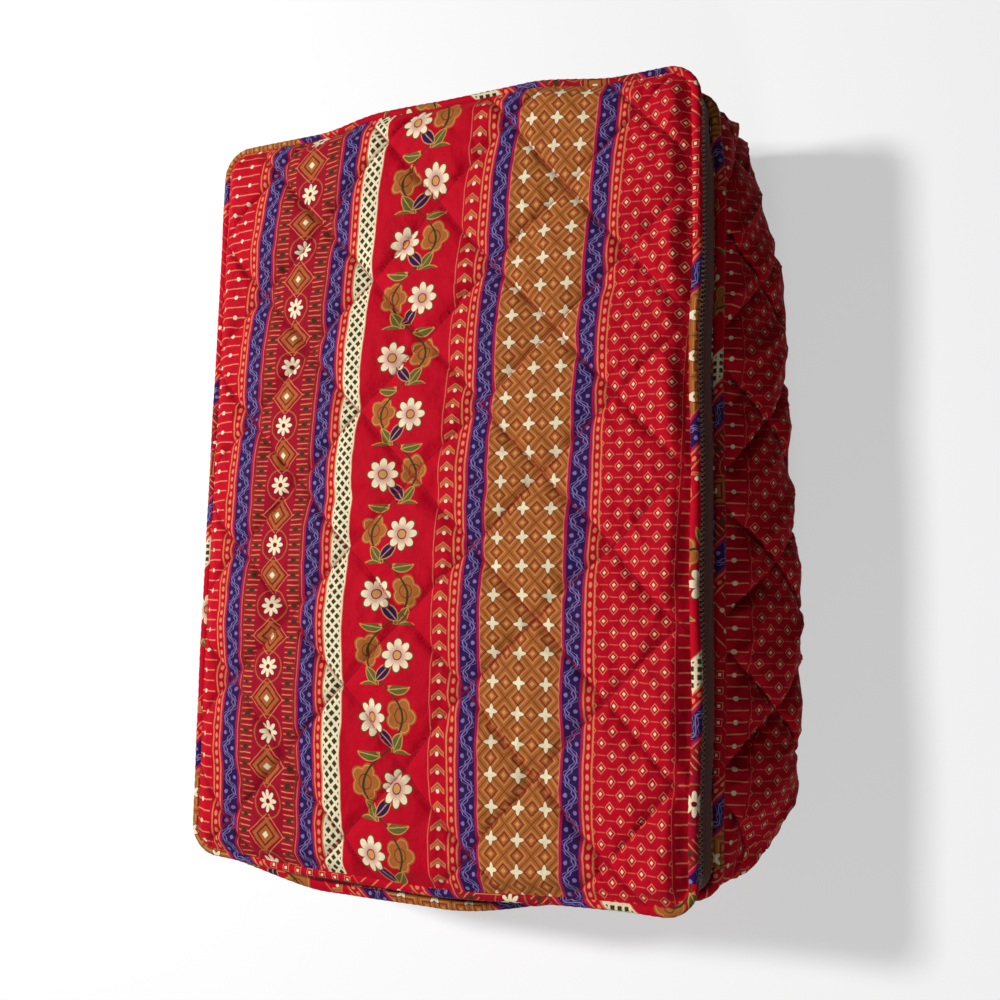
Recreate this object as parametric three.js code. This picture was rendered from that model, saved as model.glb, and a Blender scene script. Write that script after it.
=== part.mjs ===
// A soft carrier for a casserole dish. A quilted tray with bellied walls carries a quilted lid,
// which is hinged along one long side and zips round the other three. A hand loop hangs on each
// short end. Every panel seam holds a piping cord, whose flange is sewn in between the panels.
// Millimetres, +Z up. Y runs along the case, and the lid is hinged on the -X side.
import * as THREE from 'three';

// Driving dimensions of the case
const caseLength = 400;
const caseWidth = 285;
const cornerRadius = 14;
const wallHeight = 80;
const bandHeight = 30;
const sideBelly = 30;
const endBelly = 12;
const lidCrown = 4;

// Quilted panels, board and lining
const panelThickness = 5;
const panelEdgeRound = 6;
const boardThickness = 2;
const liningThickness = 1;

// Piping, and the gap between pieces that are sewn or laid together
const pipingDiameter = 5.5;
const flangeWidth = 6;
const flangeThickness = 1;
const floorClearance = 1;
const seamGap = 0.3;

// Zip: tapes, interlocking teeth, end stops
const tapeThickness = 1.2;
const toothPitch = 8;
const toothDepth = 2.4;
const toothRowThickness = 2.6;
const toothRowSpine = 1.6;
const stopLength = 4;
const stopOverhang = 0.3;
const chainMargin = 2;

// Slider and pull
const sliderLength = 14;
const sliderNoseWidth = 11;
const sliderTailWidth = 8.5;
const sliderCornerRadius = 2.5;
const sliderPlateThickness = 1.2;
const sliderRestGap = 0.5;
const crownWidth = 3;
const crownThickness = 1.2;
const pullLength = 24;
const pullWidth = 8;
const pullThickness = 1.6;
const pullTipRadius = 2.5;
const pullSideGap = 0.5;

// Hand loops
const loopWidth = 150;
const loopDrop = 66;
const strapWidth = 30;
const strapThickness = 3;
const strapGap = 0.5;

// How finely the surfaces are divided
const sideSteps = 10;
const endSteps = 8;
const cornerSteps = 6;
const lidSideSteps = 3;

// Levels of the seams and of the zip
const pipingRadius = pipingDiameter / 2;
const baseSeamZ = floorClearance + pipingRadius;
const bodySeamZ = baseSeamZ + wallHeight;
const lidSeamZ = bodySeamZ + bandHeight;
const zipZ = (bodySeamZ + lidSeamZ) / 2;

// Offsets from the seam outline, positive outwards
const cordClearRadius = pipingRadius + seamGap;
const flangeGap = flangeThickness / 2 + seamGap;
const insideFlange = -(pipingRadius + flangeWidth + seamGap);
const tapeOuter = -cordClearRadius;
const tapeInner = tapeOuter - tapeThickness;
const tapeMiddle = (tapeOuter + tapeInner) / 2;

// The belly of a wall starts and ends where the wall leaves its piping cords.
const bellyLowZ = baseSeamZ + cordClearRadius;
const bellyHighZ = bodySeamZ - cordClearRadius;
const bellyRowShares = [0.1, 0.3, 0.5, 0.7, 0.9];
const bellyPower = 5;

const cornerX = caseWidth / 2 - cornerRadius;
const cornerY = caseLength / 2 - cornerRadius;
const cornerCentres = [
  new THREE.Vector2(cornerX, cornerY),
  new THREE.Vector2(-cornerX, cornerY),
  new THREE.Vector2(-cornerX, -cornerY),
  new THREE.Vector2(cornerX, -cornerY),
];

// The seam outline is a rounded rectangle, walked anticlockwise in eight turns: 0 to 1 is the +X
// side, 1 to 2 the corner after it, 2 to 3 the +Y end, and so on. Turn 8 is turn 0 again.
const turnShares = [0, 2, 4, 6, 8];
const [RIGHT, FAR, HINGE, NEAR, ROUND] = turnShares;

// The point, outward direction and belly of the outline at a turn.
function stationAt(turn) {
  const wrapped = ((turn % ROUND) + ROUND) % ROUND;
  const leg = Math.floor(wrapped / 2);
  const along = wrapped - 2 * leg;
  const centre = cornerCentres[leg];
  const before = cornerCentres[(leg + 3) % 4];
  const onCorner = along > 1;
  const angle = (leg + (onCorner ? along - 1 : 0)) * (Math.PI / 2);
  const outward = new THREE.Vector2(Math.cos(angle), Math.sin(angle));
  const base = onCorner ? centre.clone() : before.clone().lerp(centre, along);
  base.addScaledVector(outward, cornerRadius);
  const bellyShare = onCorner ? 0 : 1 - Math.abs(2 * along - 1) ** bellyPower;
  const fullBelly = leg % 2 === 0 ? sideBelly : endBelly;
  return { base, outward, belly: fullBelly * bellyShare };
}

// A point at an offset from the outline and a height.
function pointAt(station, offset, z) {
  return new THREE.Vector3(
    station.base.x + station.outward.x * offset,
    station.base.y + station.outward.y * offset,
    z,
  );
}

// How far a wall stands out of its seams at a height: half a sine wave between the cords.
function bellyAt(station, z) {
  const share = (z - bellyLowZ) / (bellyHighZ - bellyLowZ);
  return station.belly * Math.sin(Math.PI * THREE.MathUtils.clamp(share, 0, 1));
}

// The turns between two places, with the same divisions wherever a stretch starts. Along a straight
// they crowd towards the corners, where a belly rises fastest.
function turnsBetween(start, end, stepsAlongSide, stepsAlongEnd, stepsInCorner) {
  const turns = [];
  for (let unit = Math.floor(start); unit < end; unit += 1) {
    const onSide = unit % 4 === 0;
    const steps = unit % 2 === 1 ? stepsInCorner : onSide ? stepsAlongSide : stepsAlongEnd;
    const low = Math.max(start, unit);
    const high = Math.min(end, unit + 1);
    const count = Math.max(1, Math.round(steps * (high - low)));
    for (let i = 0; i < count; i += 1) {
      const share = unit % 2 === 1 ? i / count : (1 - Math.cos((Math.PI * i) / count)) / 2;
      turns.push(low + (high - low) * share);
    }
  }
  turns.push(end);
  return turns;
}

const wallTurns = (start, end) => turnsBetween(start, end, sideSteps, endSteps, cornerSteps);
const cordTurns = (start, end) => turnsBetween(start, end, 1, 1, cornerSteps);
const lidTurns = (start, end) =>
  turnsBetween(start, end, lidSideSteps, lidSideSteps, cornerSteps);

// A closed solid from points and triangles, with its faces turned outwards.
function solidFrom(points, triangles) {
  let volume = 0;
  for (const [a, b, c] of triangles) {
    volume += points[a].dot(new THREE.Vector3().crossVectors(points[b], points[c]));
  }
  const facing = volume < 0 ? triangles.map(([a, b, c]) => [a, c, b]) : triangles;
  const geometry = new THREE.BufferGeometry().setFromPoints(points);
  geometry.setIndex(facing.flat());
  geometry.computeVertexNormals();
  return geometry;
}

const outlineOf = (pairs) => pairs.map(([offset, z]) => new THREE.Vector2(offset, z));

// Joins equal rings of points into a tube: closed on itself, or capped by its section's triangles.
function loft(rings, closed, pairs) {
  const section = outlineOf(pairs);
  if (THREE.ShapeUtils.isClockWise(section)) {
    rings.forEach((ring) => ring.reverse());
    section.reverse();
  }
  const size = rings[0].length;
  const points = rings.flat();
  const triangles = [];
  const spans = closed ? rings.length : rings.length - 1;
  for (let r = 0; r < spans; r += 1) {
    const here = r * size;
    const next = ((r + 1) % rings.length) * size;
    for (let i = 0; i < size; i += 1) {
      const j = (i + 1) % size;
      triangles.push([here + i, here + j, next + j], [here + i, next + j, next + i]);
    }
  }
  if (!closed) {
    const last = (rings.length - 1) * size;
    for (const [a, b, c] of THREE.ShapeUtils.triangulateShape(section, [])) {
      triangles.push([c, b, a], [last + a, last + b, last + c]);
    }
  }
  return solidFrom(points, triangles);
}

// Carries a section along the outline. The section is a list of [offset, height] for a station.
function sweep(turns, sectionAt) {
  const closed = turns[turns.length - 1] - turns[0] === ROUND;
  const kept = closed ? turns.slice(0, -1) : turns;
  const rings = kept.map((turn) => {
    const station = stationAt(turn);
    return sectionAt(station, turn).map(([offset, z]) => pointAt(station, offset, z));
  });
  return loft(rings, closed, sectionAt(stationAt(turns[0]), turns[0]));
}

// A closed shell drawn in rings round the middle, from the pole of its upper face over the rim to
// the pole of its lower face. A row is { share, offset, z }, where share draws the ring in.
function shell(turns, topZ, rows, bottomZ) {
  const stations = turns.slice(0, -1).map(stationAt);
  const points = [new THREE.Vector3(0, 0, topZ)];
  for (const row of rows) {
    for (const station of stations) {
      const offset = row.offset + (row.follows ? bellyAt(station, row.z) : 0);
      const point = pointAt(station, offset, row.z);
      points.push(new THREE.Vector3(point.x * row.share, point.y * row.share, row.z));
    }
  }
  points.push(new THREE.Vector3(0, 0, bottomZ));
  const around = stations.length;
  const triangles = [];
  const lastRow = 1 + (rows.length - 1) * around;
  for (let i = 0; i < around; i += 1) {
    const j = (i + 1) % around;
    triangles.push([0, 1 + i, 1 + j]);
    triangles.push([points.length - 1, lastRow + j, lastRow + i]);
    for (let r = 0; r < rows.length - 1; r += 1) {
      const here = 1 + r * around;
      const next = here + around;
      triangles.push([here + i, next + i, next + j], [here + i, next + j, here + j]);
    }
  }
  return solidFrom(points, triangles);
}

const rim = (offset, z) => ({ share: 1, offset, z });
const drawnIn = (share, offset, z) => ({ share, offset, z });
const onWall = (offset, z) => ({ share: 1, offset, z, follows: true });

// Points that hug a piping cord, from its flange to an angle. side is 1 above the flange, -1 below.
function aroundCord(seamZ, side, endAngle, count) {
  const startAngle = Math.PI - Math.asin(flangeGap / cordClearRadius);
  const points = [];
  for (let i = 0; i <= count; i += 1) {
    const angle = startAngle + ((endAngle - startAngle) * i) / count;
    const up = Math.sin(angle) * cordClearRadius;
    points.push([Math.cos(angle) * cordClearRadius, seamZ + side * up]);
  }
  return points;
}

// Materials
const cloth = (color) => new THREE.MeshStandardMaterial({ color, roughness: 0.85, metalness: 0 });
const metal = (color) => new THREE.MeshStandardMaterial({ color, roughness: 0.35, metalness: 1 });
const printRed = 0xc4122f;
const pipingRed = 0xa83228;
const tapeBrown = 0x3a1c12;
const toothBrown = 0x4a2618;
const liningCream = 0xd8c9a6;
const boardGrey = 0x55504a;
const dullBrass = 0x8a6a3c;

const carrier = new THREE.Group();

function add(name, geometry, material, parent = carrier) {
  const mesh = new THREE.Mesh(geometry, material);
  mesh.name = name;
  parent.add(mesh);
  return mesh;
}

// Base panel: flat on its underside, pressed thin at the rim where the seam flange lies on it.
const baseSeamTop = baseSeamZ - flangeGap;
const baseRows = [
  rim(insideFlange - panelEdgeRound / 2, panelThickness),
  rim(insideFlange, baseSeamTop),
  rim(tapeOuter, baseSeamTop),
  rim(tapeOuter, baseSeamTop / 2),
  rim(tapeOuter - baseSeamTop / 2, 0),
];
add('base_panel', shell(cordTurns(0, ROUND), panelThickness, baseRows, 0), cloth(printRed));

// Stiffening board between the base panel and the lining.
function roundedRectangle(halfX, halfY, radius) {
  const shape = new THREE.Shape();
  shape.absarc(halfX - radius, halfY - radius, radius, 0, Math.PI / 2);
  shape.absarc(radius - halfX, halfY - radius, radius, Math.PI / 2, Math.PI);
  shape.absarc(radius - halfX, radius - halfY, radius, Math.PI, Math.PI * 1.5);
  shape.absarc(halfX - radius, radius - halfY, radius, Math.PI * 1.5, Math.PI * 2);
  return shape;
}
const boardInset = insideFlange - panelEdgeRound / 2;
const boardShape = roundedRectangle(
  caseWidth / 2 + boardInset,
  caseLength / 2 + boardInset,
  cornerRadius + boardInset,
);
const boardGeometry = new THREE.ExtrudeGeometry(boardShape, {
  depth: boardThickness,
  bevelEnabled: false,
  curveSegments: cornerSteps,
});
const boardZ = panelThickness + seamGap;
add('base_board', boardGeometry, cloth(boardGrey)).position.z = boardZ;

// Wall panels: each hugs the base cord and the body cord and bellies out between them.
const wallFootZ = baseSeamZ + flangeGap;
const wallTopZ = bodySeamZ - flangeGap;
const bellyRowZs = bellyRowShares.map((share) => THREE.MathUtils.lerp(bellyLowZ, bellyHighZ, share));

function wallSection(station) {
  const outerFoot = aroundCord(baseSeamZ, 1, Math.PI / 2, 2);
  const outerTop = aroundCord(bodySeamZ, -1, Math.PI / 2, 2).reverse();
  const outer = bellyRowZs.map((z) => [bellyAt(station, z), z]);
  const inner = bellyRowZs.map((z) => [bellyAt(station, z) - panelThickness, z]).reverse();
  return [
    ...outerFoot,
    ...outer,
    ...outerTop,
    [-panelThickness, wallTopZ],
    ...inner,
    [-panelThickness, wallFootZ],
  ];
}

// The panels meet at the middle of the corners, with a gap between their ends.
const cornerArc = (cornerRadius * Math.PI) / 2;
const jointTurn = seamGap / 2 / (cornerArc * (1 - panelThickness / cornerRadius));
function wallPanel(name, side) {
  const start = side - 0.5 + jointTurn + ROUND;
  const end = side + 1.5 - jointTurn + ROUND;
  add(name, sweep(wallTurns(start, end), wallSection), cloth(printRed));
}
wallPanel('side_panel_right', RIGHT);
wallPanel('end_panel_far', FAR);
wallPanel('side_panel_hinge', HINGE);
wallPanel('end_panel_near', NEAR);

// Piping: a round cord and the flat flange that is sewn into the seam.
const cordAngleShares = [-0.7, -0.42, -0.14, 0.14, 0.42, 0.7];
function pipingSection(seamZ) {
  const half = flangeThickness / 2;
  const flangeOffset = -(pipingRadius + flangeWidth);
  const round = cordAngleShares.map((share) => [
    Math.cos(share * Math.PI) * pipingRadius,
    seamZ + Math.sin(share * Math.PI) * pipingRadius,
  ]);
  const root = -Math.sqrt(pipingRadius ** 2 - half ** 2);
  return [
    [flangeOffset, seamZ - half],
    [root, seamZ - half],
    ...round,
    [root, seamZ + half],
    [flangeOffset, seamZ + half],
  ];
}
function piping(name, seamZ) {
  const section = pipingSection(seamZ);
  add(name, sweep(cordTurns(0, ROUND), () => section), cloth(pipingRed));
}
piping('base_piping', baseSeamZ);
piping('body_piping', bodySeamZ);
piping('lid_piping', lidSeamZ);

// Case lining: one skin that covers the board and climbs the walls to the body seam.
const liningFloorZ = boardZ + boardThickness + seamGap;
const dishFloorZ = liningFloorZ + liningThickness;
const liningOuter = -(panelThickness + seamGap);
const liningInner = liningOuter - liningThickness;
const caseLiningRows = [
  rim(liningInner, dishFloorZ),
  ...bellyRowZs.map((z) => onWall(liningInner, z)),
  onWall(liningInner, wallTopZ),
  onWall(liningOuter, wallTopZ),
  ...bellyRowZs.map((z) => onWall(liningOuter, z)).reverse(),
  rim(liningOuter, liningFloorZ),
];
const caseLining = shell(wallTurns(0, ROUND), dishFloorZ, caseLiningRows, liningFloorZ);
add('case_lining', caseLining, cloth(liningCream));

// Lid panel and its lining: low domes, the panel rolled over the lid cord at its rim, as far as a
// share of a half turn.
const ringShares = [0.4, 0.7, 0.9];
const crownAt = (share) => lidCrown * (1 - share ** 2);
const lidUnderZ = lidSeamZ + flangeGap;
const lidTopZ = lidUnderZ + panelThickness;
const lidRollShare = 0.62;
const lidRoll = aroundCord(lidSeamZ, 1, Math.PI * lidRollShare, 2).reverse();
const lidRows = [
  ...ringShares.map((share) => drawnIn(share, 0, lidTopZ + crownAt(share))),
  rim(-cordClearRadius - panelEdgeRound, lidTopZ),
  rim(-cordClearRadius, lidTopZ - panelThickness / 4),
  ...lidRoll.map(([offset, z]) => rim(offset, z)),
  ...ringShares.map((share) => drawnIn(share, 0, lidUnderZ + crownAt(share))).reverse(),
];
const lidShell = shell(lidTurns(0, ROUND), lidTopZ + lidCrown, lidRows, lidUnderZ + lidCrown);
add('lid_panel', lidShell, cloth(printRed));

const lidLiningTopZ = lidUnderZ - seamGap;
const lidLiningUnderZ = lidLiningTopZ - liningThickness;
const lidLiningRows = [
  ...ringShares.map((share) => drawnIn(share, 0, lidLiningTopZ + crownAt(share))),
  rim(insideFlange, lidLiningTopZ),
  rim(insideFlange, lidLiningUnderZ),
  ...ringShares.map((share) => drawnIn(share, 0, lidLiningUnderZ + crownAt(share))).reverse(),
];
const lidLining = shell(
  lidTurns(0, ROUND),
  lidLiningTopZ + lidCrown,
  lidLiningRows,
  lidLiningUnderZ + lidCrown,
);
add('lid_lining', lidLining, cloth(liningCream));

// Zip tapes run round three sides and both hinge corners. Each drops back from the middle of the
// band along the chain, to leave room for its row of teeth. The lid folds at the middle of the
// band, about a line just outside the piping cords, so nothing of it dips below that level there.
const toothRowReach = toothDepth / 2 + toothRowSpine;
const chainEdge = toothRowReach + seamGap;
const plainEdge = seamGap / 2;
const endRun = 2 * cornerX;
const chainStart = NEAR + chainMargin / endRun;
const chainEnd = FAR + 1 + ROUND - chainMargin / endRun;
const stepTurn = seamGap / endRun;
const tapeTurns = [
  ...cordTurns(HINGE + 1, chainStart - stepTurn),
  ...cordTurns(chainStart, chainEnd),
  ...cordTurns(chainEnd + stepTurn, HINGE + ROUND),
];
function tapeSection(turn, side) {
  const seamZ = side > 0 ? lidSeamZ : bodySeamZ;
  const onChain = turn > chainStart - stepTurn / 2 && turn < chainEnd + stepTurn / 2;
  const sewnZ = seamZ - side * flangeGap;
  const edgeZ = zipZ + side * (onChain ? chainEdge : plainEdge);
  return [
    [tapeInner, sewnZ],
    [tapeOuter, sewnZ],
    [tapeOuter, edgeZ],
    [tapeInner, edgeZ],
  ];
}
const lowerTape = sweep(tapeTurns, (station, turn) => tapeSection(turn, -1));
const upperTape = sweep(tapeTurns, (station, turn) => tapeSection(turn, 1));
add('zip_tape_lower', lowerTape, cloth(tapeBrown));
add('zip_tape_upper', upperTape, cloth(tapeBrown));

// Teeth: two rows on the same zigzag, parted by one gap, so each tooth of a row sits between two
// of the other. The stations follow the chain at half a pitch, measured along the tape.
const teethStart = chainStart + (stopLength + seamGap) / endRun;
const teethEnd = chainEnd - (stopLength + seamGap) / endRun;
const teethCornerArc = (cornerRadius + tapeMiddle) * (Math.PI / 2);
const unitLengths = [2 * cornerY, teethCornerArc, endRun, teethCornerArc];
function teethTurns() {
  const stretches = [];
  for (let unit = Math.floor(teethStart); unit < teethEnd; unit += 1) {
    const low = Math.max(teethStart, unit);
    const high = Math.min(teethEnd, unit + 1);
    stretches.push({ low, length: (high - low) * unitLengths[unit % 4], unit });
  }
  const total = stretches.reduce((sum, stretch) => sum + stretch.length, 0);
  const count = 2 * Math.round(total / toothPitch);
  const turns = [];
  let passed = 0;
  let at = 0;
  for (let i = 0; i <= count; i += 1) {
    const target = (total * i) / count;
    while (at < stretches.length - 1 && target > passed + stretches[at].length) {
      passed += stretches[at].length;
      at += 1;
    }
    turns.push(stretches[at].low + (target - passed) / unitLengths[stretches[at].unit % 4]);
  }
  return turns;
}
const toothSlope = toothDepth / (toothPitch / 2);
const toothLift = seamGap * Math.sqrt(1 + toothSlope ** 2);
const toothInner = tapeMiddle - toothRowThickness / 2;
const toothOuter = tapeMiddle + toothRowThickness / 2;
const chainTurns = teethTurns();
function teethRow(side) {
  return sweep(chainTurns, (station, turn) => {
    const zigzag = chainTurns.indexOf(turn) % 2 === 0 ? -toothDepth / 2 : toothDepth / 2;
    const tipZ = zipZ + zigzag + (side * toothLift) / 2;
    const spineZ = zipZ + side * toothRowReach;
    return [
      [toothInner, spineZ],
      [toothOuter, spineZ],
      [toothOuter, tipZ],
      [toothInner, tipZ],
    ];
  });
}
add('zip_teeth_lower', teethRow(-1), cloth(toothBrown));
add('zip_teeth_upper', teethRow(1), cloth(toothBrown));

// End stops stand in line with the teeth at both ends of the chain, on each tape's edge.
const stopThickness = toothRowThickness + 2 * stopOverhang;
const stopHeight = toothRowReach - seamGap / 2;
function endStop(name, end, side) {
  const geometry = new THREE.BoxGeometry(stopLength, stopThickness, stopHeight);
  const stop = add(name, geometry, metal(dullBrass));
  const y = end * (caseLength / 2 + tapeMiddle);
  const z = zipZ + side * (seamGap / 2 + stopHeight / 2);
  stop.position.set(-cornerX + chainMargin + stopLength / 2, y, z);
}
endStop('zip_bottom_stop_lower', -1, -1);
endStop('zip_bottom_stop_upper', -1, 1);
endStop('zip_top_stop_lower', 1, -1);
endStop('zip_top_stop_upper', 1, 1);

// Hinge strip: the plain tape on the hinge side, in the two halves that fold about the zip level.
const stripTrim = seamGap / (2 * cornerY);
function hingeStrip(name, side) {
  const turns = cordTurns(HINGE + stripTrim, HINGE + 1 - stripTrim);
  const seamZ = side > 0 ? lidSeamZ : bodySeamZ;
  const section = [
    [tapeInner, seamZ - side * flangeGap],
    [tapeOuter, seamZ - side * flangeGap],
    [tapeOuter, zipZ + side * plainEdge],
    [tapeInner, zipZ + side * plainEdge],
  ];
  add(name, sweep(turns, () => section), cloth(tapeBrown));
}
hingeStrip('hinge_strip_lower', -1);
hingeStrip('hinge_strip_upper', 1);

// Slider, closed against the top stops on the far end. Its plates lie either side of the teeth.
const slider = new THREE.Group();
const sliderX = -cornerX + chainMargin + stopLength + sliderRestGap + sliderLength / 2;
slider.position.set(sliderX, caseLength / 2, zipZ);
carrier.add(slider);

// A plate outline with a broad nose towards -X and a narrower tail, drawn in the plane of the band.
function sliderOutline() {
  const half = sliderLength / 2;
  const nose = sliderNoseWidth / 2;
  const tail = sliderTailWidth / 2;
  const r = sliderCornerRadius;
  const shape = new THREE.Shape();
  shape.moveTo(-half, r - nose);
  shape.quadraticCurveTo(-half, -nose, r - half, -nose);
  shape.lineTo(half - r, -tail);
  shape.quadraticCurveTo(half, -tail, half, r - tail);
  shape.lineTo(half, tail - r);
  shape.quadraticCurveTo(half, tail, half - r, tail);
  shape.lineTo(r - half, nose);
  shape.quadraticCurveTo(-half, nose, -half, nose - r);
  shape.closePath();
  return shape;
}

// Turns a flat extrusion so that it stands in the plane of the band, behind its outline's plane.
const standUp = (geometry) => geometry.rotateX(Math.PI / 2);

function addToSlider(name, geometry, outwardOffset) {
  add(name, geometry, metal(dullBrass), slider).position.y = outwardOffset;
}
const plateOptions = { depth: sliderPlateThickness, bevelEnabled: false, curveSegments: 3 };
const plateOuterFace = toothOuter + seamGap + sliderPlateThickness;
const plate = () => standUp(new THREE.ExtrudeGeometry(sliderOutline(), plateOptions));
addToSlider('slider_outer_plate', plate(), plateOuterFace);
addToSlider('slider_inner_plate', plate(), toothInner - seamGap);

// Crown: the arch on the outer plate that holds the bar of the pull.
const barSwing = (pullThickness / 2) * Math.SQRT2 + seamGap;
const crownOuter = barSwing + crownThickness;
const crownLeg = barSwing - seamGap;
const barOffset = plateOuterFace + barSwing;
function crownGeometry() {
  const shape = new THREE.Shape();
  shape.moveTo(-crownOuter, -crownLeg);
  shape.lineTo(-barSwing, -crownLeg);
  shape.lineTo(-barSwing, 0);
  shape.absarc(0, 0, barSwing, Math.PI, 0, true);
  shape.lineTo(barSwing, -crownLeg);
  shape.lineTo(crownOuter, -crownLeg);
  shape.lineTo(crownOuter, 0);
  shape.absarc(0, 0, crownOuter, 0, Math.PI, false);
  shape.closePath();
  const options = { depth: crownWidth, bevelEnabled: false, curveSegments: cornerSteps };
  return new THREE.ExtrudeGeometry(shape, options).translate(0, 0, -crownWidth / 2);
}
addToSlider('slider_crown', crownGeometry(), barOffset);

// Pull: a flat tab whose window goes round the crown, with its end bar under the arch.
function pullGeometry() {
  const half = pullWidth / 2;
  const bar = pullThickness / 2;
  const tip = pullLength - bar;
  const r = pullTipRadius;
  const shape = new THREE.Shape();
  shape.moveTo(-bar, -half);
  shape.lineTo(tip - r, -half);
  shape.quadraticCurveTo(tip, -half, tip, r - half);
  shape.lineTo(tip, half - r);
  shape.quadraticCurveTo(tip, half, tip - r, half);
  shape.lineTo(-bar, half);
  shape.closePath();
  const windowEnd = Math.hypot(crownOuter, crownLeg) + pullSideGap;
  const windowHalf = crownWidth / 2 + pullSideGap;
  const hole = new THREE.Path();
  hole.moveTo(bar, -windowHalf);
  hole.lineTo(bar, windowHalf);
  hole.lineTo(windowEnd, windowHalf);
  hole.lineTo(windowEnd, -windowHalf);
  hole.closePath();
  shape.holes.push(hole);
  const options = { depth: pullThickness, bevelEnabled: false, curveSegments: 3 };
  return standUp(new THREE.ExtrudeGeometry(shape, options)).translate(0, pullThickness / 2, 0);
}
addToSlider('zip_pull', pullGeometry(), barOffset);

// Hand loops: a padded strap bent into a U, which hangs from the body seam and lies on the belly
// of the end wall. Its two ends are rounded about the line that the loop swings on.
const loopAxisZ = bodySeamZ - pipingRadius - strapThickness / 2 - seamGap;
const legX = (loopWidth - strapWidth) / 2;
const bendRadius = strapWidth;
const bendZ = loopAxisZ - loopDrop + strapWidth / 2 + bendRadius;
const barX = legX - bendRadius;
const legSteps = 3;
const bendSteps = 6;

// The outer face of an end wall at a place across the end.
function endWallOffset(x, z) {
  const along = (x + cornerX) / (2 * cornerX);
  return bellyAt(stationAt(FAR + THREE.MathUtils.clamp(1 - along, 0, 1)), z);
}

// Centre line of the loop on the wall: points with the direction across the strap.
function loopLine() {
  const line = [];
  for (let i = 0; i <= legSteps; i += 1) {
    const z = THREE.MathUtils.lerp(loopAxisZ, bendZ, i / legSteps);
    line.push({ x: legX, z, across: 0 });
  }
  for (let i = 1; i <= bendSteps; i += 1) {
    const angle = ((Math.PI / 2) * i) / bendSteps;
    const x = barX + Math.cos(angle) * bendRadius;
    line.push({ x, z: bendZ - Math.sin(angle) * bendRadius, across: -angle });
  }
  const mirrored = line.map(({ x, z, across }) => ({ x: -x, z, across: Math.PI - across }));
  return [...line, ...mirrored.reverse()];
}

// The strap's flat section with soft edges: pairs of place across the strap and depth.
const strapHalf = strapWidth / 2;
const strapFlat = strapHalf - strapThickness / 2;
const strapFaceShares = [-1, -1 / 3, 1 / 3, 1];
const strapSection = [
  [-strapHalf, 0],
  ...strapFaceShares.map((share) => [share * strapFlat, strapThickness / 2]),
  [strapHalf, 0],
  ...strapFaceShares.map((share) => [-share * strapFlat, -strapThickness / 2]),
];

// One ring of the strap, lying on the wall, thinned where it rounds off at its ends.
function strapRing(end, { x, z, across }, lift, thicknessShare) {
  return strapSection.map(([width, depth]) => {
    const px = x + Math.cos(across) * width;
    const pz = z + Math.sin(across) * width + lift;
    const onWallMiddle = endWallOffset(px, Math.min(pz, loopAxisZ)) + strapGap + strapThickness / 2;
    const offset = onWallMiddle + depth * thicknessShare;
    return new THREE.Vector3(px, end * (caseLength / 2 + offset), pz);
  });
}

// The end of a leg is rounded by rings that thin out over the last part of a quarter turn.
const tipAngleShares = [0.88, 0.67, 0.33];
function handLoop(name, end) {
  const line = loopLine();
  const tip = (place) =>
    tipAngleShares.map((share) => {
      const angle = (share * Math.PI) / 2;
      return strapRing(end, place, (Math.sin(angle) * strapThickness) / 2, Math.cos(angle));
    });
  const rings = [
    ...tip(line[0]),
    ...line.map((place) => strapRing(end, place, 0, 1)),
    ...tip(line[line.length - 1]).reverse(),
  ];
  add(name, loft(rings, false, strapSection), cloth(printRed));
}
handLoop('handle_near', -1);
handLoop('handle_far', 1);

export default carrier;
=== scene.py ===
# %% [markdown]
# # A quilted carrier for a casserole dish
# The carrier is a soft box: a quilted tray, a quilted lid that folds on one long side, and a zip
# round the other three. It could be sculpted by hand, or sewn from flat panels with a cloth
# simulation. Here every surface follows a formula, because the panels have to meet at seams that
# the frame fixes, and because one printed cloth has to run over all of them. Sizes are in metres.

import bpy
import numpy as np
from mathutils import Matrix, Vector


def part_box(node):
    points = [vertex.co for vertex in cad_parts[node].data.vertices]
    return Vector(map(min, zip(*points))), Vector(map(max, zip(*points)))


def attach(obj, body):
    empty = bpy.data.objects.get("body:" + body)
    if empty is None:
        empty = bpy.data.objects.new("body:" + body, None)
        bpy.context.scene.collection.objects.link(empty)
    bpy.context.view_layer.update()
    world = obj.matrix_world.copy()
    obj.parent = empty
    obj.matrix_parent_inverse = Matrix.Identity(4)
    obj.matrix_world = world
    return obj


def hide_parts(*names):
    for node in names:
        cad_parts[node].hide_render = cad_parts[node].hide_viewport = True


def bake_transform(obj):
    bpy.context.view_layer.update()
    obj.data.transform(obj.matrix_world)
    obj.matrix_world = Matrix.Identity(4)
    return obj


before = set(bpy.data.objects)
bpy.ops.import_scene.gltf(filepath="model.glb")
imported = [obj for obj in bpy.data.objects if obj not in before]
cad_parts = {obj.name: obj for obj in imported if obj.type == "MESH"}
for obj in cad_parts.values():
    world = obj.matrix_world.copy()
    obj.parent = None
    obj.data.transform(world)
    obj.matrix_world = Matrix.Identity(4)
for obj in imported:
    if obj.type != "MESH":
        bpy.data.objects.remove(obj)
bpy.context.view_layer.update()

# %% [markdown]
# ## The camera
# The photograph looks down on the lid from a little to the right. A camera can be placed by eye in
# the viewport, but then the render can't be laid over the photograph. So the eye's place and the
# line of sight were worked out once, from the corners of the lid and of the base. The lens is as
# long as the sensor is wide, so nothing has to be shifted or cropped.

# %% Camera
EYE = Vector((0.2440, -0.0658, 0.5744))
SIGHT = Vector((-0.403, 0.106, -0.909)).normalized()
UP_HINT = Vector((0.022, 0.994, 0.106))
LENS_MM = 36


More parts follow.
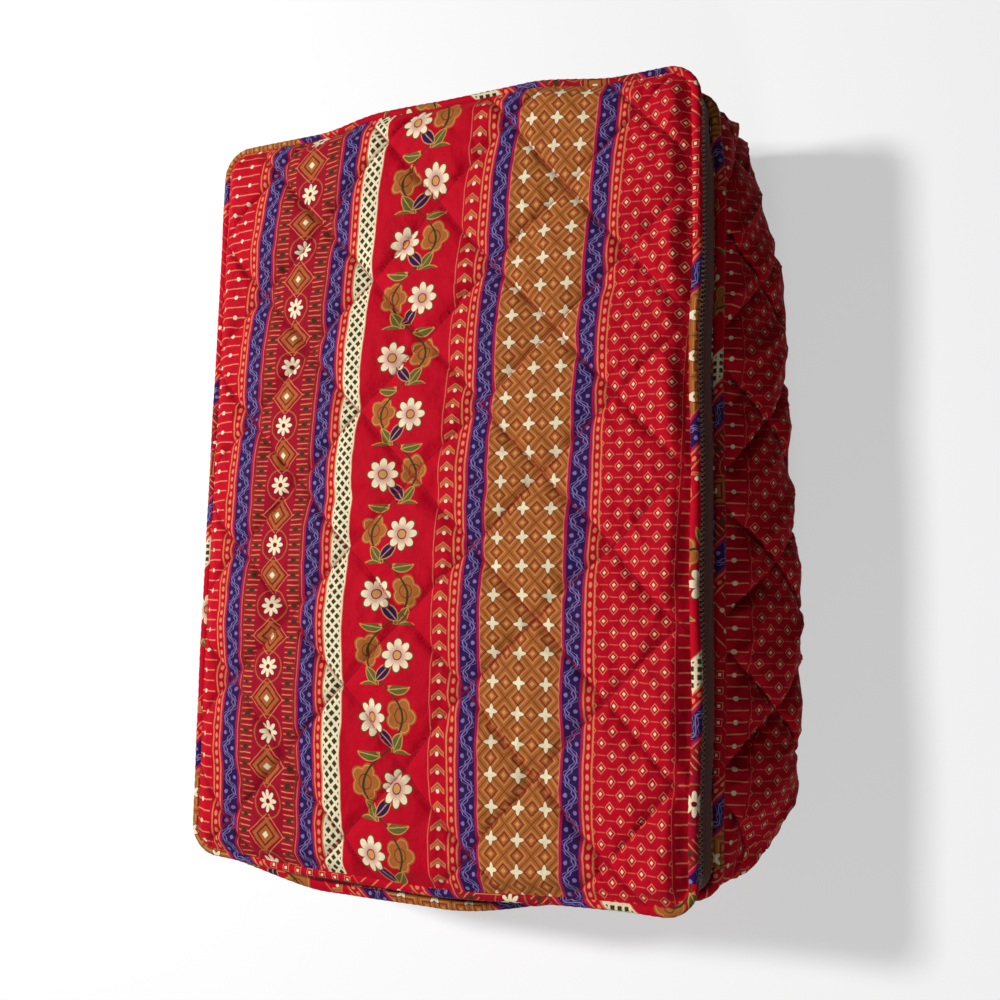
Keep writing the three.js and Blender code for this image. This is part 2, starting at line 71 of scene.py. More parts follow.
def place_camera():
    """The camera's axes: to the right, up, and backwards along the line of sight."""
    right = SIGHT.cross(UP_HINT).normalized()
    up = right.cross(SIGHT)
    camera = bpy.data.objects.new("camera", bpy.data.cameras.new("camera"))
    camera.data.lens = LENS_MM
    camera.data.sensor_width = LENS_MM
    turn = Matrix((right, up, -SIGHT)).transposed().to_4x4()
    camera.matrix_world = Matrix.Translation(EYE) @ turn
    bpy.context.scene.collection.objects.link(camera)
    bpy.context.scene.camera = camera


place_camera()
print("camera at", [round(value, 3) for value in EYE])

# %% [markdown]
# ## The seam outline
# Every seam of the case runs round the same rounded rectangle. It could be drawn as a curve object,
# but a formula is handier: give it a length along the seam and it answers with a point and the
# direction that faces out. Walls, cords, tapes and teeth all ask it.

# %% Sizes of the seams
SEAM_WIDTH = 0.285
SEAM_LENGTH = 0.400
CORNER = 0.014
CORD = 0.0055
SEAM_GAP = 0.0003
CORD_CLEAR = CORD / 2 + SEAM_GAP


def seam_level(node):
    """The height of a cord's centre line."""
    low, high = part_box(node)
    return (low.z + high.z) / 2


BASE_SEAM = seam_level("base_piping")
BODY_SEAM = seam_level("body_piping")
LID_SEAM = seam_level("lid_piping")
ZIP = (BODY_SEAM + LID_SEAM) / 2
print("levels of the seams:", [round(level, 4) for level in (BASE_SEAM, BODY_SEAM, LID_SEAM)])

# %% Outline
SIDE = SEAM_LENGTH - 2 * CORNER
END = SEAM_WIDTH - 2 * CORNER
BEND = CORNER * np.pi / 2
LEG_LENGTHS = np.array([SIDE, BEND, END, BEND, SIDE, BEND, END, BEND])
LEG_STARTS = np.concatenate([[0], np.cumsum(LEG_LENGTHS)])
ROUND = LEG_STARTS[-1]
CORNER_SIGNS = np.array([(1, 1), (-1, 1), (-1, -1), (1, -1)])


def outline(s):
    """Point and outward direction at a length s along the seam, anticlockwise from the near end of
    the right side. A straight leg steps back from the corner that ends it. A corner turns about its
    centre by the length past its start, over the radius."""
    s = np.mod(s, ROUND)
    leg = np.clip(np.searchsorted(LEG_STARTS, s, side="right") - 1, 0, 7)
    quarter = leg // 2
    past = s - LEG_STARTS[leg]
    bends = leg % 2 == 1
    heading = quarter * np.pi / 2
    angle = heading + np.where(bends, past / CORNER, 0)
    back = np.where(bends, 0, LEG_LENGTHS[leg] - past)
    out = np.stack([np.cos(angle), np.sin(angle)], -1)
    centre = CORNER_SIGNS[quarter] * np.array([END / 2, SIDE / 2])
    ahead = np.stack([-np.sin(heading), np.cos(heading)], -1)
    return centre + out * CORNER - ahead * back[..., None], out


def turn_length(turn):
    """The length along the seam at a turn: 0 to 1 is the right side, 1 to 2 the corner after it."""
    return np.interp(turn, np.arange(9), LEG_STARTS)


def beside(s, offset, z):
    """Points at an offset out of the seam outline, at a height."""
    base, out = outline(s)
    return np.stack([base[..., 0] + out[..., 0] * offset, base[..., 1] + out[..., 1] * offset, z], -1)


print(f"seam outline: {ROUND * 1000:.0f} mm round")

# %% [markdown]
# ## Soft steps and hills
# Cloth has no hard steps and no even surfaces. Blender's own noise could displace the meshes through
# a modifier, but then the seams would part, as each piece would move on its own. Two small functions
# of a place do it instead: a smooth step, and hills that are random but the same on every run.

# %% Soft steps and hills
HILL_COUNT = 64


def ease(value, start, end):
    """0 before start, 1 after end, and a smooth S between them."""
    share = np.clip((value - start) / (end - start), 0, 1)
    return share * share * (3 - 2 * share)


def hills(x, y, size, seed):
    """Soft random hills between -1 and 1: random heights at the corners of square cells of a size,
    joined by smooth steps."""
    heights = np.random.default_rng(seed).uniform(-1, 1, (HILL_COUNT, HILL_COUNT))
    x, y = np.asarray(x) / size, np.asarray(y) / size
    column, row = np.floor(x).astype(int), np.floor(y).astype(int)
    a, b = ease(x - column, 0, 1), ease(y - row, 0, 1)

    def corner(i, j):
        return heights[(column + i) % HILL_COUNT, (row + j) % HILL_COUNT]

    low = corner(0, 0) * (1 - a) + corner(1, 0) * a
    high = corner(0, 1) * (1 - a) + corner(1, 1) * a
    return low * (1 - b) + high * b


print("a hill's height at one place:", round(float(hills(0.013, 0.021, 0.01, 1)), 3))

# %% [markdown]
# ## How the case has slumped
# An empty soft case never stands true. On this one the rim of the tray spreads at the near end, more
# on the left, and the lid sags there, so the tray's cord peeps out past the lid's. A lattice modifier
# could bend the finished pieces, but one function that moves every point by the same rule keeps
# seams, teeth and linings together. It leaves the far zip alone, because the slider has to run
# there.

# %% Slump, its reach and its zones
NEAR_SPREAD = 0.021
LID_SPREAD = 0.008
EAR = 0.016
RIM_LIFT = 0.006
LID_SAG = 0.004
BAND_FOLD = 0.006
RIM_FLARE = 0.0022
LID_TUCK = 0.0032
FAR_BULGE = 0.006
SEAM_WAVER = 0.0011
WAVER_SIZE = 0.055

# Each zone is where a movement starts and where it is full. Left and near zones count outwards.
LEFT = (0.07, 0.143)
MIDDLE_TO_RIGHT = (0.0, 0.12)
NEAR = (0.10, 0.20)
NEAR_EDGE = (0.186, 0.206)
RIGHT = (0.09, 0.14)
RIGHT_WAVER = (0.07, 0.14)
END_WAVER = (0.10, 0.19)
FAR = (0.12, 0.19)
FAR_ZIP = (0.15, 0.185)
BULGE_START = (-0.08, -0.035)
BULGE_END = (0.05, 0.10)
OFF_FLOOR = (0.006, 0.03)
WALL_RISE = (0.01, BODY_SEAM)
BRIM = (0.050, BODY_SEAM - 0.001)
PAST_RIM = (BODY_SEAM + 0.003, LID_SEAM - 0.001)
LID = (BODY_SEAM + 0.003, LID_SEAM)
PAST_ZIP = (ZIP + 0.006, LID_SEAM)
AT_RIM = (BODY_SEAM - 0.01, BODY_SEAM)
print("the rim spreads by", NEAR_SPREAD * 1000, "mm and the lid's edge by", LID_SPREAD * 1000, "mm")

# %% Slump
def settle(points):
    """Moves points (..., 3) from the true box to the slumped one."""
    x, y, z = points[..., 0], points[..., 1], points[..., 2]
    along = (1 - 0.5 * ease(-x, *LEFT)) * (1 - ease(x, *MIDDLE_TO_RIGHT))
    near = ease(-y, *NEAR) * along
    ear = ease(-y, *NEAR_EDGE) * ease(-x, *LEFT)
    band = np.clip((z - BODY_SEAM) / (LID_SEAM - BODY_SEAM), 0, 1)
    fold = BAND_FOLD * 4 * band * (1 - band)
    over_rim = 1 - ease(z, *PAST_RIM)
    rim = ease(z, *WALL_RISE) * over_rim
    brim = ease(z, *BRIM) * over_rim
    lid = ease(z, *LID)
    over_zip = ease(z, *PAST_ZIP)
    free = 1 - ease(y, *FAR_ZIP) * (1 - over_zip) * ease(z, *AT_RIM)
    bulge = ease(x, *BULGE_START) * (1 - ease(x, *BULGE_END)) * ease(y, *FAR) * over_zip
    waver_x = hills(y, z, WAVER_SIZE, 11) * ease(x, *RIGHT_WAVER) * ease(z, *OFF_FLOOR)
    waver_y = hills(x, z, WAVER_SIZE, 12) * ease(np.abs(y), *END_WAVER) * ease(z, *OFF_FLOOR)
    flare = (RIM_FLARE * rim - LID_TUCK * lid) * ease(x, *RIGHT)
    shift_x = (flare + SEAM_WAVER * waver_x) * free - EAR * ear * brim
    shift_y = near * (fold - NEAR_SPREAD * brim - LID_SPREAD * lid)
    shift_y = shift_y + FAR_BULGE * bulge + SEAM_WAVER * waver_y * free
    shift_z = near * (RIM_LIFT * brim - LID_SAG * lid)
    return points + np.stack([shift_x, shift_y, shift_z], -1)


corner_test = settle(np.array([[-0.13, -0.19, BODY_SEAM], [0.0, 0.196, ZIP]]))
print("near left corner of the rim moves to", np.round(corner_test[0] * 1000, 1))
print("far zip stays at", np.round(corner_test[1] * 1000, 2))

# %% [markdown]
# ## From points to a piece
# Every piece of cloth needs a mesh, its place on the flat cloth for the print, and faces that look
# outwards. The place could come from Blender's unwrapping, but unwrapping doesn't know how a panel was
# cut. The formulas do, so each corner of a face brings its own place on the cloth. Outwards is found
# by the sign of the volume that the faces enclose.

# %% Mesh and cloth map
SHARP_EDGE = np.radians(50)


def turned_out(points, quads, caps, places):
    """Turns all faces, and their places on the cloth with them, if they enclose less than nothing."""
    a, b, c, d = (points[quads[:, k]] for k in range(4))
    volume = np.einsum("ij,ij->i", a, np.cross(b, c) + np.cross(c, d)).sum()
    if volume >= 0:
        return quads, caps, places
    split = len(quads) * 4
    turned = [places[:split].reshape(-1, 4, 2)[:, ::-1].reshape(-1, 2)]
    for cap in caps:
        turned.append(places[split:split + len(cap)][::-1])
        split += len(cap)
    return quads[:, ::-1], [cap[::-1] for cap in caps], np.concatenate(turned)


def finish_mesh(name, points, quads, caps, places, stitches=None):
    """Makes the object. places holds one place on the cloth per corner, in the order of the faces."""
    quads, caps, places = turned_out(points, quads, caps, places)
    mesh = bpy.data.meshes.new(name)
    mesh.from_pydata(points.tolist(), [], quads.tolist() + [cap.tolist() for cap in caps])
    cloth = mesh.uv_layers.new(name="cloth")
    cloth.data.foreach_set("uv", places.astype(np.float32).ravel())
    if stitches is not None:
        quilt_lines = mesh.attributes.new("quilt", "FLOAT_VECTOR", "POINT")
        quilt_lines.data.foreach_set("vector", stitches.astype(np.float32).ravel())
    mesh.polygons.foreach_set("use_smooth", np.ones(len(mesh.polygons), bool))
    mesh.set_sharp_from_angle(angle=SHARP_EDGE)
    obj = bpy.data.objects.new(name, mesh)
    bpy.context.scene.collection.objects.link(obj)
    return obj


def dress(piece, finish, slot, *nodes):
    """Gives a piece its finish, and lets it stand for nodes of the frame. The slot is not used."""
    piece.data.materials.append(finish)
    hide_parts(*nodes)
    print(f"{piece.name}: {len(piece.data.polygons)} faces")


print("edges over", round(float(np.degrees(SHARP_EDGE))), "degrees stay sharp")

# %% [markdown]
# ## Skins from loops
# Most pieces are closed skins over a stack of loops: a cord is a stack of little circles, and a wall
# is a stack of its own cross sections. Blender can skin curves with a bevel, but a bevel keeps one
# section all along. Loops of points may change on the way, so one function turns a stack into
# quads, and joins the last loop to the first or caps both ends.

# %% Skins
def skin(name, rings, cloth, joined=False, stitches=None):
    """A closed skin over loops of points. rings is (loop, point, 3). cloth has one column more, and
    one row more when joined, so that the place on the cloth runs on across the join."""
    m, n = rings.shape[:2]
    row, column = np.meshgrid(np.arange(m if joined else m - 1), np.arange(n), indexing="ij")
    next_row, next_column = (row + 1) % m, (column + 1) % n
    corners = [(row, column), (row, next_column), (next_row, next_column), (next_row, column)]
    quads = np.stack([r * n + c for r, c in corners], -1).reshape(-1, 4)
    cloth_corners = [(row, column), (row, column + 1), (row + 1, column + 1), (row + 1, column)]
    places = np.stack([cloth[r, c] for r, c in cloth_corners], -2).reshape(-1, 2)
    caps = []
    if not joined:
        caps = [np.arange(n)[::-1], (m - 1) * n + np.arange(n)]
        places = np.concatenate([places, cloth[0, :n][::-1], cloth[m - 1, :n]])
    flat = None if stitches is None else stitches.reshape(-1, 3)
    return finish_mesh(name, rings.reshape(-1, 3), quads, caps, places, flat)


def grid_of(first, second):
    """A place on the cloth for each pair of a value along and a value across."""
    return np.stack(np.meshgrid(first, second, indexing="ij"), -1)


print("a skin's cloth map has", grid_of(np.arange(3), np.arange(2)).shape, "places for 3 by 2 values")

# %% [markdown]
# ## Pads from grids
# The lid, the underside and the lid's lining are flat panels. A skin over loops would pinch in their
# middle, so a pad is a grid for the finished face, with loops that draw in under it from its edge
# and one cap over what is left. The hidden cap is plain, which saves faces.

# %% Pads
def edge_of(grid):
    """What lies round the edge of a grid, in the order that a pad's loops walk."""
    return np.concatenate([grid[0, :], grid[1:, -1], grid[-1, -2::-1], grid[-2:0:-1, 0]])


def drawn_in(x, y, loops):
    """Loops under a grid: its edge, drawn in to a share of its size, at a level."""
    rim = edge_of(np.stack([x, y], -1))
    rings = [np.column_stack([rim * share, np.full(len(rim), level)]) for share, level in loops]
    return np.stack(rings)


def pad(name, top, under, cloth, stitches):
    """A closed pad. top is (m, n, 3), under is (loops, edge points, 3), cloth is (m, n, 2)."""
    m, n = top.shape[:2]
    index = np.arange(m * n).reshape(m, n)
    face = np.stack([index[:-1, :-1], index[:-1, 1:], index[1:, 1:], index[1:, :-1]], -1)
    edge = edge_of(index)
    loops = [edge] + [m * n + k * len(edge) + np.arange(len(edge)) for k in range(len(under))]
    sides = [
        np.stack([here, there, np.roll(there, -1), np.roll(here, -1)], -1)
        for here, there in zip(loops[:-1], loops[1:])
    ]
    quads = np.concatenate([face.reshape(-1, 4), *sides])

    def spread(values):
        flat = values.reshape(-1, values.shape[-1])
        return np.concatenate([flat, np.tile(flat[edge], (len(under), 1))])

    points = np.concatenate([top.reshape(-1, 3), under.reshape(-1, 3)])
    places = spread(cloth)[np.concatenate([quads.ravel(), loops[-1]])]
    return finish_mesh(name, points, quads, [loops[-1]], places, spread(stitches))


print("the edge of a grid of 4 by 3 points has", len(edge_of(np.zeros((4, 3)))), "points")

# %% [markdown]
# ## Quilting
# The cloth is stitched through its wadding along lines at 45 degrees, both ways, 51 mm apart. Between
# lines the wadding puffs up steeply and then lies nearly flat, and the thread gathers the cotton
# into small puckers. Cloth simulation with pressure could puff it, but takes long and comes out
# different on each panel. A height over the flat cloth is quick, and a wall and the lid are quilted
# alike. The function also returns the two line coordinates, which the cloth's finish uses to put
# the thread exactly in the valleys.

# %% Quilting
LINE_PITCH = 0.051
LINE_WAVER = 0.0014
LINE_WAVER_SIZE = 0.03
CRISP = 0.0011
SOFT = 0.0078
PUCKER = 0.0015
PUCKER_SIZE = 0.0085
PUCKER_REACH = 0.010
CRUMPLE_SIZE = 0.019
FINE_CRUMPLE_SIZE = 0.008


def line_distance(value):
    """Distance to the nearest stitch line."""
    return np.abs(value - LINE_PITCH * np.round(value / LINE_PITCH))


def swelling(distance):
    """Rise away from a stitch line, 0 to 1: a crisp step beside the thread and a slow one after."""
    return 0.5 * (1 - np.exp(-distance / CRISP)) + 0.5 * (1 - np.exp(-distance / SOFT))


def wrinkles(x, y, size, seed):
    """Narrow crests between -1 and 1, that run where soft hills cross their middle level."""
    return 1 - 2 * np.abs(hills(x, y, size, seed)) ** 0.55


def quilt(u, v, height, seed, pucker=PUCKER):
    """Height of the padding over the cloth at places u, v, and the two line coordinates. The puff is
    the product of the swelling from both sets of lines. Puckers are ridges square to a line that
    fade away from it, and crumples are hills of two sizes."""
    a = (u + v) / np.sqrt(2) + LINE_WAVER * hills(u, v, LINE_WAVER_SIZE, seed)
    b = (u - v) / np.sqrt(2) + LINE_WAVER * hills(u, v, LINE_WAVER_SIZE, seed + 1)
    to_a, to_b = line_distance(a), line_distance(b)
    puff = swelling(to_a) * swelling(to_b)
    ridges_a = wrinkles(b + 0.3 * a, a * 0.25, PUCKER_SIZE, seed + 2) * np.exp(-to_a / PUCKER_REACH)
    ridges_b = wrinkles(a + 0.3 * b, b * 0.25, PUCKER_SIZE, seed + 3) * np.exp(-to_b / PUCKER_REACH)
    crumple = hills(u + 0.4 * v, v, CRUMPLE_SIZE, seed + 4) * 0.65
    crumple = crumple + hills(u, v + 0.5 * u, FINE_CRUMPLE_SIZE, seed + 5) * 0.35
    bumps = (ridges_a + ridges_b) * pucker * puff ** 0.5 + crumple * pucker * 0.7 * puff
    return height * puff + bumps, np.stack([a, b, np.zeros_like(a)], -1)


sample_height, _ = quilt(*np.meshgrid(np.linspace(0, 0.1, 50), np.linspace(0, 0.1, 50)), 0.0048, 1)
print(f"quilting stands {sample_height.max() * 1000:.1f} mm over its valleys")

# %% [markdown]
# ## Dyes
# The print has about a dozen dyes: reds from bright to wine, a rose, a navy, gold-brown, cream and a few
# accents. They could be picked in the colour wheel of each node, but then a dye would be typed many
# times. Named once, in the usual hex codes, they are turned here to the linear values that a shader
# wants.

# %% Dyes
def dye(code):
    """A hex colour as a linear colour: each channel follows the screen's own curve backwards."""
    channels = np.array([int(code[i:i + 2], 16) / 255 for i in (0, 2, 4)])
    linear = np.where(channels <= 0.04045, channels / 12.92, ((channels + 0.055) / 1.055) ** 2.4)
    return (*linear.tolist(), 1.0)


RED = dye("bd0420")
WINE = dye("76051a")
RUBY = dye("9a0a26")
ROSE = dye("ad1247")
NAVY = dye("1d1549")
LILAC = dye("8274ac")
GOLD = dye("a8622c")
BRONZE = dye("6e3a17")
SAND = dye("cf9350")
CREAM = dye("efe1bb")
PEACH = dye("e28660")
BLUSH = dye("d9a597")
MOSS = dye("2c361a")
LEAF = dye("566228")
SOOT = (0.02, 0.0, 0.005, 1.0)
print("red dye, linear:", [round(value, 3) for value in RED[:3]])

# %% [markdown]
# ## Sums that build nodes
# The print has to be drawn by nodes, because the script reads no picture. Nodes could be placed and
# linked by hand in the shader editor, but here there are hundreds. So a small class lets Python's own
# signs build them: a + b on two Numbers adds one Math node and its links.

# %% Sums that build nodes
class Number:
    """A number that the shader works out at every point. Its signs make Math nodes."""

    def __init__(self, socket):
        self.socket = socket

    def __add__(self, other):
        return reckon("ADD", self, other)

    def __sub__(self, other):
        return reckon("SUBTRACT", self, other)

    def __mul__(self, other):
        return reckon("MULTIPLY", self, other)

    def __truediv__(self, other):
        return reckon("DIVIDE", self, other)

    def __rsub__(self, other):
        return reckon("SUBTRACT", other, self)

    def __abs__(self):
        return reckon("ABSOLUTE", self)

    __radd__ = __add__
    __rmul__ = __mul__


def feed(socket, value):
    """Links a Number or a socket, or sets a plain value."""
    if isinstance(value, Number):
        value = value.socket
    if isinstance(value, bpy.types.NodeSocket):
        socket.id_data.links.new(value, socket)
    else:
        socket.default_value = value


def reckon(operation, *values, clamp=False):
    """One Math node on Numbers and plain numbers."""
    tree = next(value.socket.id_data for value in values if isinstance(value, Number))
    node = tree.nodes.new("ShaderNodeMath")
    node.operation = operation
    node.use_clamp = clamp
    for socket, value in zip(node.inputs, values):
        feed(socket, value)
    return Number(node.outputs[0])


print("signs that build nodes:", [name for name in vars(Number) if name.startswith("__r")])

# %% [markdown]
# ## Repeats, shapes and masks
# A printed figure is a shape that comes back every few millimetres. It could be drawn once and tiled
# as a picture. Here a shape is the distance to its edge, below zero inside: the place is wrapped to
# one repeat, the distance is worked out from it, and fill() makes a mask with a soft edge. Such
# edges stay clean from near and far.

# %% Repeats, shapes and masks
def wrap(value, pitch):
    """Distance from the nearest multiple of the pitch, with its sign."""
    return reckon("WRAP", value, pitch / 2, -pitch / 2)


def odd(value, pitch):
    """0 and 1 in turn from one multiple of the pitch to the next."""
    return reckon("PINGPONG", reckon("FLOOR", value / pitch + 0.5), 1.0)


def hypot(x, y):
    """Distance from the middle of a repeat, by the sum of the squares."""
    return reckon("SQRT", reckon("MULTIPLY_ADD", x, x, y * y))


def both(a, b):
    """Distance to what two shapes share."""
    return reckon("MAXIMUM", a, b)


def either(a, b):
    """Distance to two shapes together."""
    return reckon("MINIMUM", a, b)


def fill(distance, soft=0.3):
    """A mask that is 1 inside a shape, from the distance to its edge in millimetres."""
    return reckon("MULTIPLY_ADD", distance, -1 / soft, 0.5, clamp=True)


def line(distance, width):
    """A mask along the edge of a shape, as a line of a width."""
    return fill(abs(distance) - width / 2)


def lay(under, over, mask):
    """Paints one colour over another where the mask is 1. A Mix node keeps its colours in sockets 6
    and 7, and gives the result in output 2."""
    node = mask.socket.id_data.nodes.new("ShaderNodeMix")
    node.data_type = "RGBA"
    feed(node.inputs[0], mask)
    feed(node.inputs[6], under)
    feed(node.inputs[7], over)
    return node.outputs[2]


def split(place):
    """The first two coordinates of a place, as Numbers."""
    node = place.id_data.nodes.new("ShaderNodeSeparateXYZ")
    feed(node.inputs[0], place)
    return Number(node.outputs[0]), Number(node.outputs[1])


def noise(place, scale, detail=2.0):
    """Blender's noise on a place, as a Number from about -0.5 to 0.5."""
    node = place.id_data.nodes.new("ShaderNodeTexNoise")
    feed(node.inputs["Vector"], place)
    node.inputs["Scale"].default_value = scale
    node.inputs["Detail"].default_value = detail
    return Number(node.outputs["Fac"]) - 0.5


def patches(place, scale, detail, contrast, level):
    """Noise stretched by a contrast about a level, and kept between 0 and 1."""
    return reckon("MULTIPLY_ADD", noise(place, scale, detail), contrast, level, clamp=True)


print("a soft edge is", fill.__defaults__[0], "mm wide")

# %% [markdown]
# ## The narrow bands
# The cloth is a striped print: long bands on a red ground, some gold-brown, some navy, each with a
# small repeated figure. One wide pattern could hold them all, but a short function for each band is
# easier to read and to change. It gets the distance x from the band's middle and the length v along
# it, in millimetres, lays its dyes one over another, and its numbers are sizes on the cloth. The
# narrow bands come first: bars, beads and a wave.

# %% Narrow bands
def bars(colour, x, v, width):
    """Thin bars across the band, each with one bead, to the left and right in turn."""
    pitch = 5.6
    row = wrap(v, pitch)
    shift = (odd(v, pitch) - 0.5) * (width * 0.35)
    colour = lay(colour, PEACH, fill(both(abs(row) - 0.32, abs(x) - (width / 2 - 1.5))))
    return lay(colour, CREAM, fill(hypot(x - shift, row) - 1.15))


def beads(colour, x, v, width):
    """A column of long beads between two thin lines."""
    colour = lay(colour, PEACH, fill(hypot(x * 1.5, wrap(v, 4.4)) - 1.35))
    return lay(colour, SAND, line(abs(x) - width / 2 + 0.4, 0.4))


def wave(colour, x, v, width):
    """A waving line on navy, a leaf on each side of it and a bead in each bow."""
    pitch = 15
    swing = reckon("SINE", v * (2 * np.pi / pitch)) * (width * 0.25)
    colour = lay(colour, NAVY, fill(abs(x) - width / 2 + 1.6))
    colour = lay(colour, LILAC, line(x - swing, 0.7))
    bead = hypot(x + swing * 0.8, wrap(v - pitch / 4, pitch / 2)) - 1.0
    colour = lay(colour, LILAC, fill(bead))
    barb = abs(abs(x - swing) - abs(wrap(v, pitch / 5)) * 0.9 - 0.9) - 0.28
    return lay(colour, LILAC, fill(both(barb, abs(x) - width / 2 + 2.2)))


def chevrons(colour, x, v, width):
    """Arrow heads in a column, each with a bead at its point."""
    row = wrap(v, 8.2)
    arrow = both(abs(row + abs(x) * 0.8 - 1.0) - 0.9, abs(x) - width * 0.36)
    colour = lay(colour, GOLD, fill(arrow))
    colour = lay(colour, PEACH, line(arrow, 0.4))
    return lay(colour, CREAM, fill(hypot(x, row + 1.9) - 1.0))


print("narrow bands:", [band.__name__ for band in (bars, beads, wave, chevrons)])

# %% [markdown]
# ## The geometric bands
# Wider bands carry diamonds, a lattice, rings and small sprigs. Each could be cut as a stencil. The
# distance to a square, turned or not, is only the larger or the sum of two distances, so a few
# lines draw each, and the figures keep their size when a band is made wider.

# %% Geometric bands
def medallions(colour, x, v, width):
    """Round flowers and gold diamonds in turn, with rows of little squares at the sides."""
    pitch = 33.0
    row = wrap(v, pitch)
    radius = hypot(x, row)
    lobes = abs(reckon("COSINE", reckon("ARCTAN2", row, x) * 4.0))
    petals = radius - (2.4 + lobes * 3.4)
    diamond = abs(x) + abs(wrap(v + pitch / 2, pitch))
    colour = lay(colour, GOLD, line(radius - 8.6, 0.7))
    colour = lay(colour, GOLD, fill(diamond - 8.4))
    colour = lay(colour, WINE, line(diamond - 5.2, 1.2))
    colour = lay(colour, SAND, line(diamond - 10.6, 0.5))
    colour = lay(colour, CREAM, fill(diamond - 1.9))
    colour = lay(colour, WINE, fill(petals - 0.8))
    colour = lay(colour, CREAM, fill(petals))
    colour = lay(colour, WINE, fill(radius - 1.3))
    side = abs(x) - width * 0.36
    square = both(abs(side), abs(wrap(v, pitch / 4)))
    colour = lay(colour, MOSS, fill(square - 1.3))
    comb = both(abs(wrap(v, pitch / 12)) - 0.25, abs(side) - 3.6)
    colour = lay(colour, SAND, fill(comb) * fill(square * -1.0 + 1.9))
    edge = abs(x) - width / 2 + 1.0 + abs(wrap(v, pitch / 6)) * 0.5
    return lay(colour, BRONZE, line(edge, 0.6))


def lattice(colour, x, v, width):
    """A diagonal lattice on gold-brown, with a four-pointed star in each of its windows."""
    pitch = width / 3
    a, b = x + v, x - v
    colour = lay(colour, BRONZE, line(wrap(a, pitch), 0.6))
    colour = lay(colour, BRONZE, line(wrap(b, pitch), 0.6))
    window = both(abs(wrap(a + pitch / 2, pitch)), abs(wrap(b + pitch / 2, pitch)))
    colour = lay(colour, SAND, line(window - 4.6, 0.5))
    colour = lay(colour, WINE, line(window - 3.0, 0.7))
    across, row = wrap(x, pitch), wrap(v, pitch)
    star = either(hypot(across * 3.0, row), hypot(across, row * 3.0)) - 3.4
    colour = lay(colour, SAND, fill(window - 1.3))
    colour = lay(colour, BRONZE, fill(star - 0.7))
    return lay(colour, CREAM, fill(star))


def lace(colour, x, v, width):
    """Cream rings on dark green, two rows crossed."""
    pitch = 5.2
    first = hypot(wrap(x, pitch), wrap(v, pitch))
    second = hypot(wrap(x + pitch / 2, pitch), wrap(v + pitch / 2, pitch))
    ring = either(abs(first - 2.0), abs(second - 2.0)) - 0.55
    colour = lay(colour, CREAM, fill(ring))
    return lay(colour, CREAM, line(abs(x) - width / 2 + 0.5, 1.0))


def sprigs(colour, x, v, width):
    """Small diamonds in half-drop rows, with pale bars between them."""
    wide, high = 10.5, 11.2
    first = abs(wrap(x, wide)) * 1.1 + abs(wrap(v, high))
    second = abs(wrap(x + wide / 2, wide)) * 1.1 + abs(wrap(v + high / 2, high))
    diamond = either(first, second)
    colour = lay(colour, PEACH, line(diamond - 2.5, 0.55))
    colour = lay(colour, CREAM, fill(diamond - 1.0))
    bar = both(abs(wrap(v, high / 2)) - 0.22, 3.6 - diamond)
    return lay(colour, PEACH, fill(bar) * 0.55)


print("geometric bands:", [band.__name__ for band in (medallions, lattice, lace, sprigs)])

# %% [markdown]
# ## The flower band
# The widest band holds round flowers on a waving stem. Flowers could be modelled and projected on
# the cloth. In the print they are flat, so a flower is only a radius that swells and shrinks with
# the angle, and a leaf is what two crossed circles share.

# %% Flower band
def leaf_shape(x, y, length, width):
    """Distance to a pointed leaf along y: two circles crossed."""
    radius = (length * length / 4 + width * width / 4) / width
    return hypot(abs(x) + (radius - width / 2), y) - radius


def turned(x, y, degrees):
    """Coordinates turned by an angle."""
    cosine, sine = np.cos(np.radians(degrees)), np.sin(np.radians(degrees))
    return x * cosine + y * sine, y * cosine - x * sine


def blossom(colour, x, y):
    """A round flower with eight petals, a blush at its heart and a sand-coloured eye."""
    radius = hypot(x, y)
    lobes = abs(reckon("COSINE", reckon("ARCTAN2", y, x) * 4.0))
    petals = radius - (4.0 + reckon("POWER", lobes, 0.6) * 4.6)
    colour = lay(colour, BRONZE, fill(petals - 0.9))
    colour = lay(colour, CREAM, fill(petals))
    colour = lay(colour, BLUSH, fill(radius - 4.6, 2.4) * fill(petals))
    colour = lay(colour, BRONZE, line(radius - 2.3, 0.7))
    return lay(colour, SAND, fill(radius - 1.9))


def garland(colour, x, v, width):
    """Flowers on alternate sides of a waving stem, with gold ones behind and leaves between."""
    pitch = 31.0
    stem = reckon("SINE", v * (np.pi / pitch)) * (width * 0.22)
    side = odd(v - pitch / 2, pitch) * 2.0 - 1.0
    shade_x, shade_y = x + side * (width * 0.2), wrap(v - pitch * 0.55, pitch)
    shade_lobes = abs(reckon("COSINE", reckon("ARCTAN2", shade_y, shade_x) * 2.5))
    shade_radius = hypot(shade_x, shade_y)
    shade = shade_radius - (6.6 + shade_lobes * 2.2)
    colour = lay(colour, GOLD, fill(shade))
    colour = lay(colour, SAND, line(shade + 1.0, 0.5))
    colour = lay(colour, BRONZE, line(shade_radius - 3.4, 0.6))
    colour = lay(colour, MOSS, line(x - stem, 1.3))
    for angle, reach, tint in ((38, 0.0, LEAF), (-46, 3.0, NAVY), (82, -2.0, LEAF)):
        leaf_x, leaf_y = turned((x + side * 4.0) * side, wrap(v - reach, pitch), angle)
        leaf = leaf_shape(leaf_x, leaf_y - 5.0, 12.0, 5.4)
        colour = lay(colour, SAND, fill(leaf - 0.5))
        colour = lay(colour, tint, fill(leaf))
        colour = lay(colour, SAND, fill(both(leaf, abs(leaf_x) - 0.25)))
    return blossom(colour, x - side * (width * 0.14), wrap(v - pitch / 2, pitch))


print("flower band:", garland.__name__, "with", blossom.__name__, "and", leaf_shape.__name__)

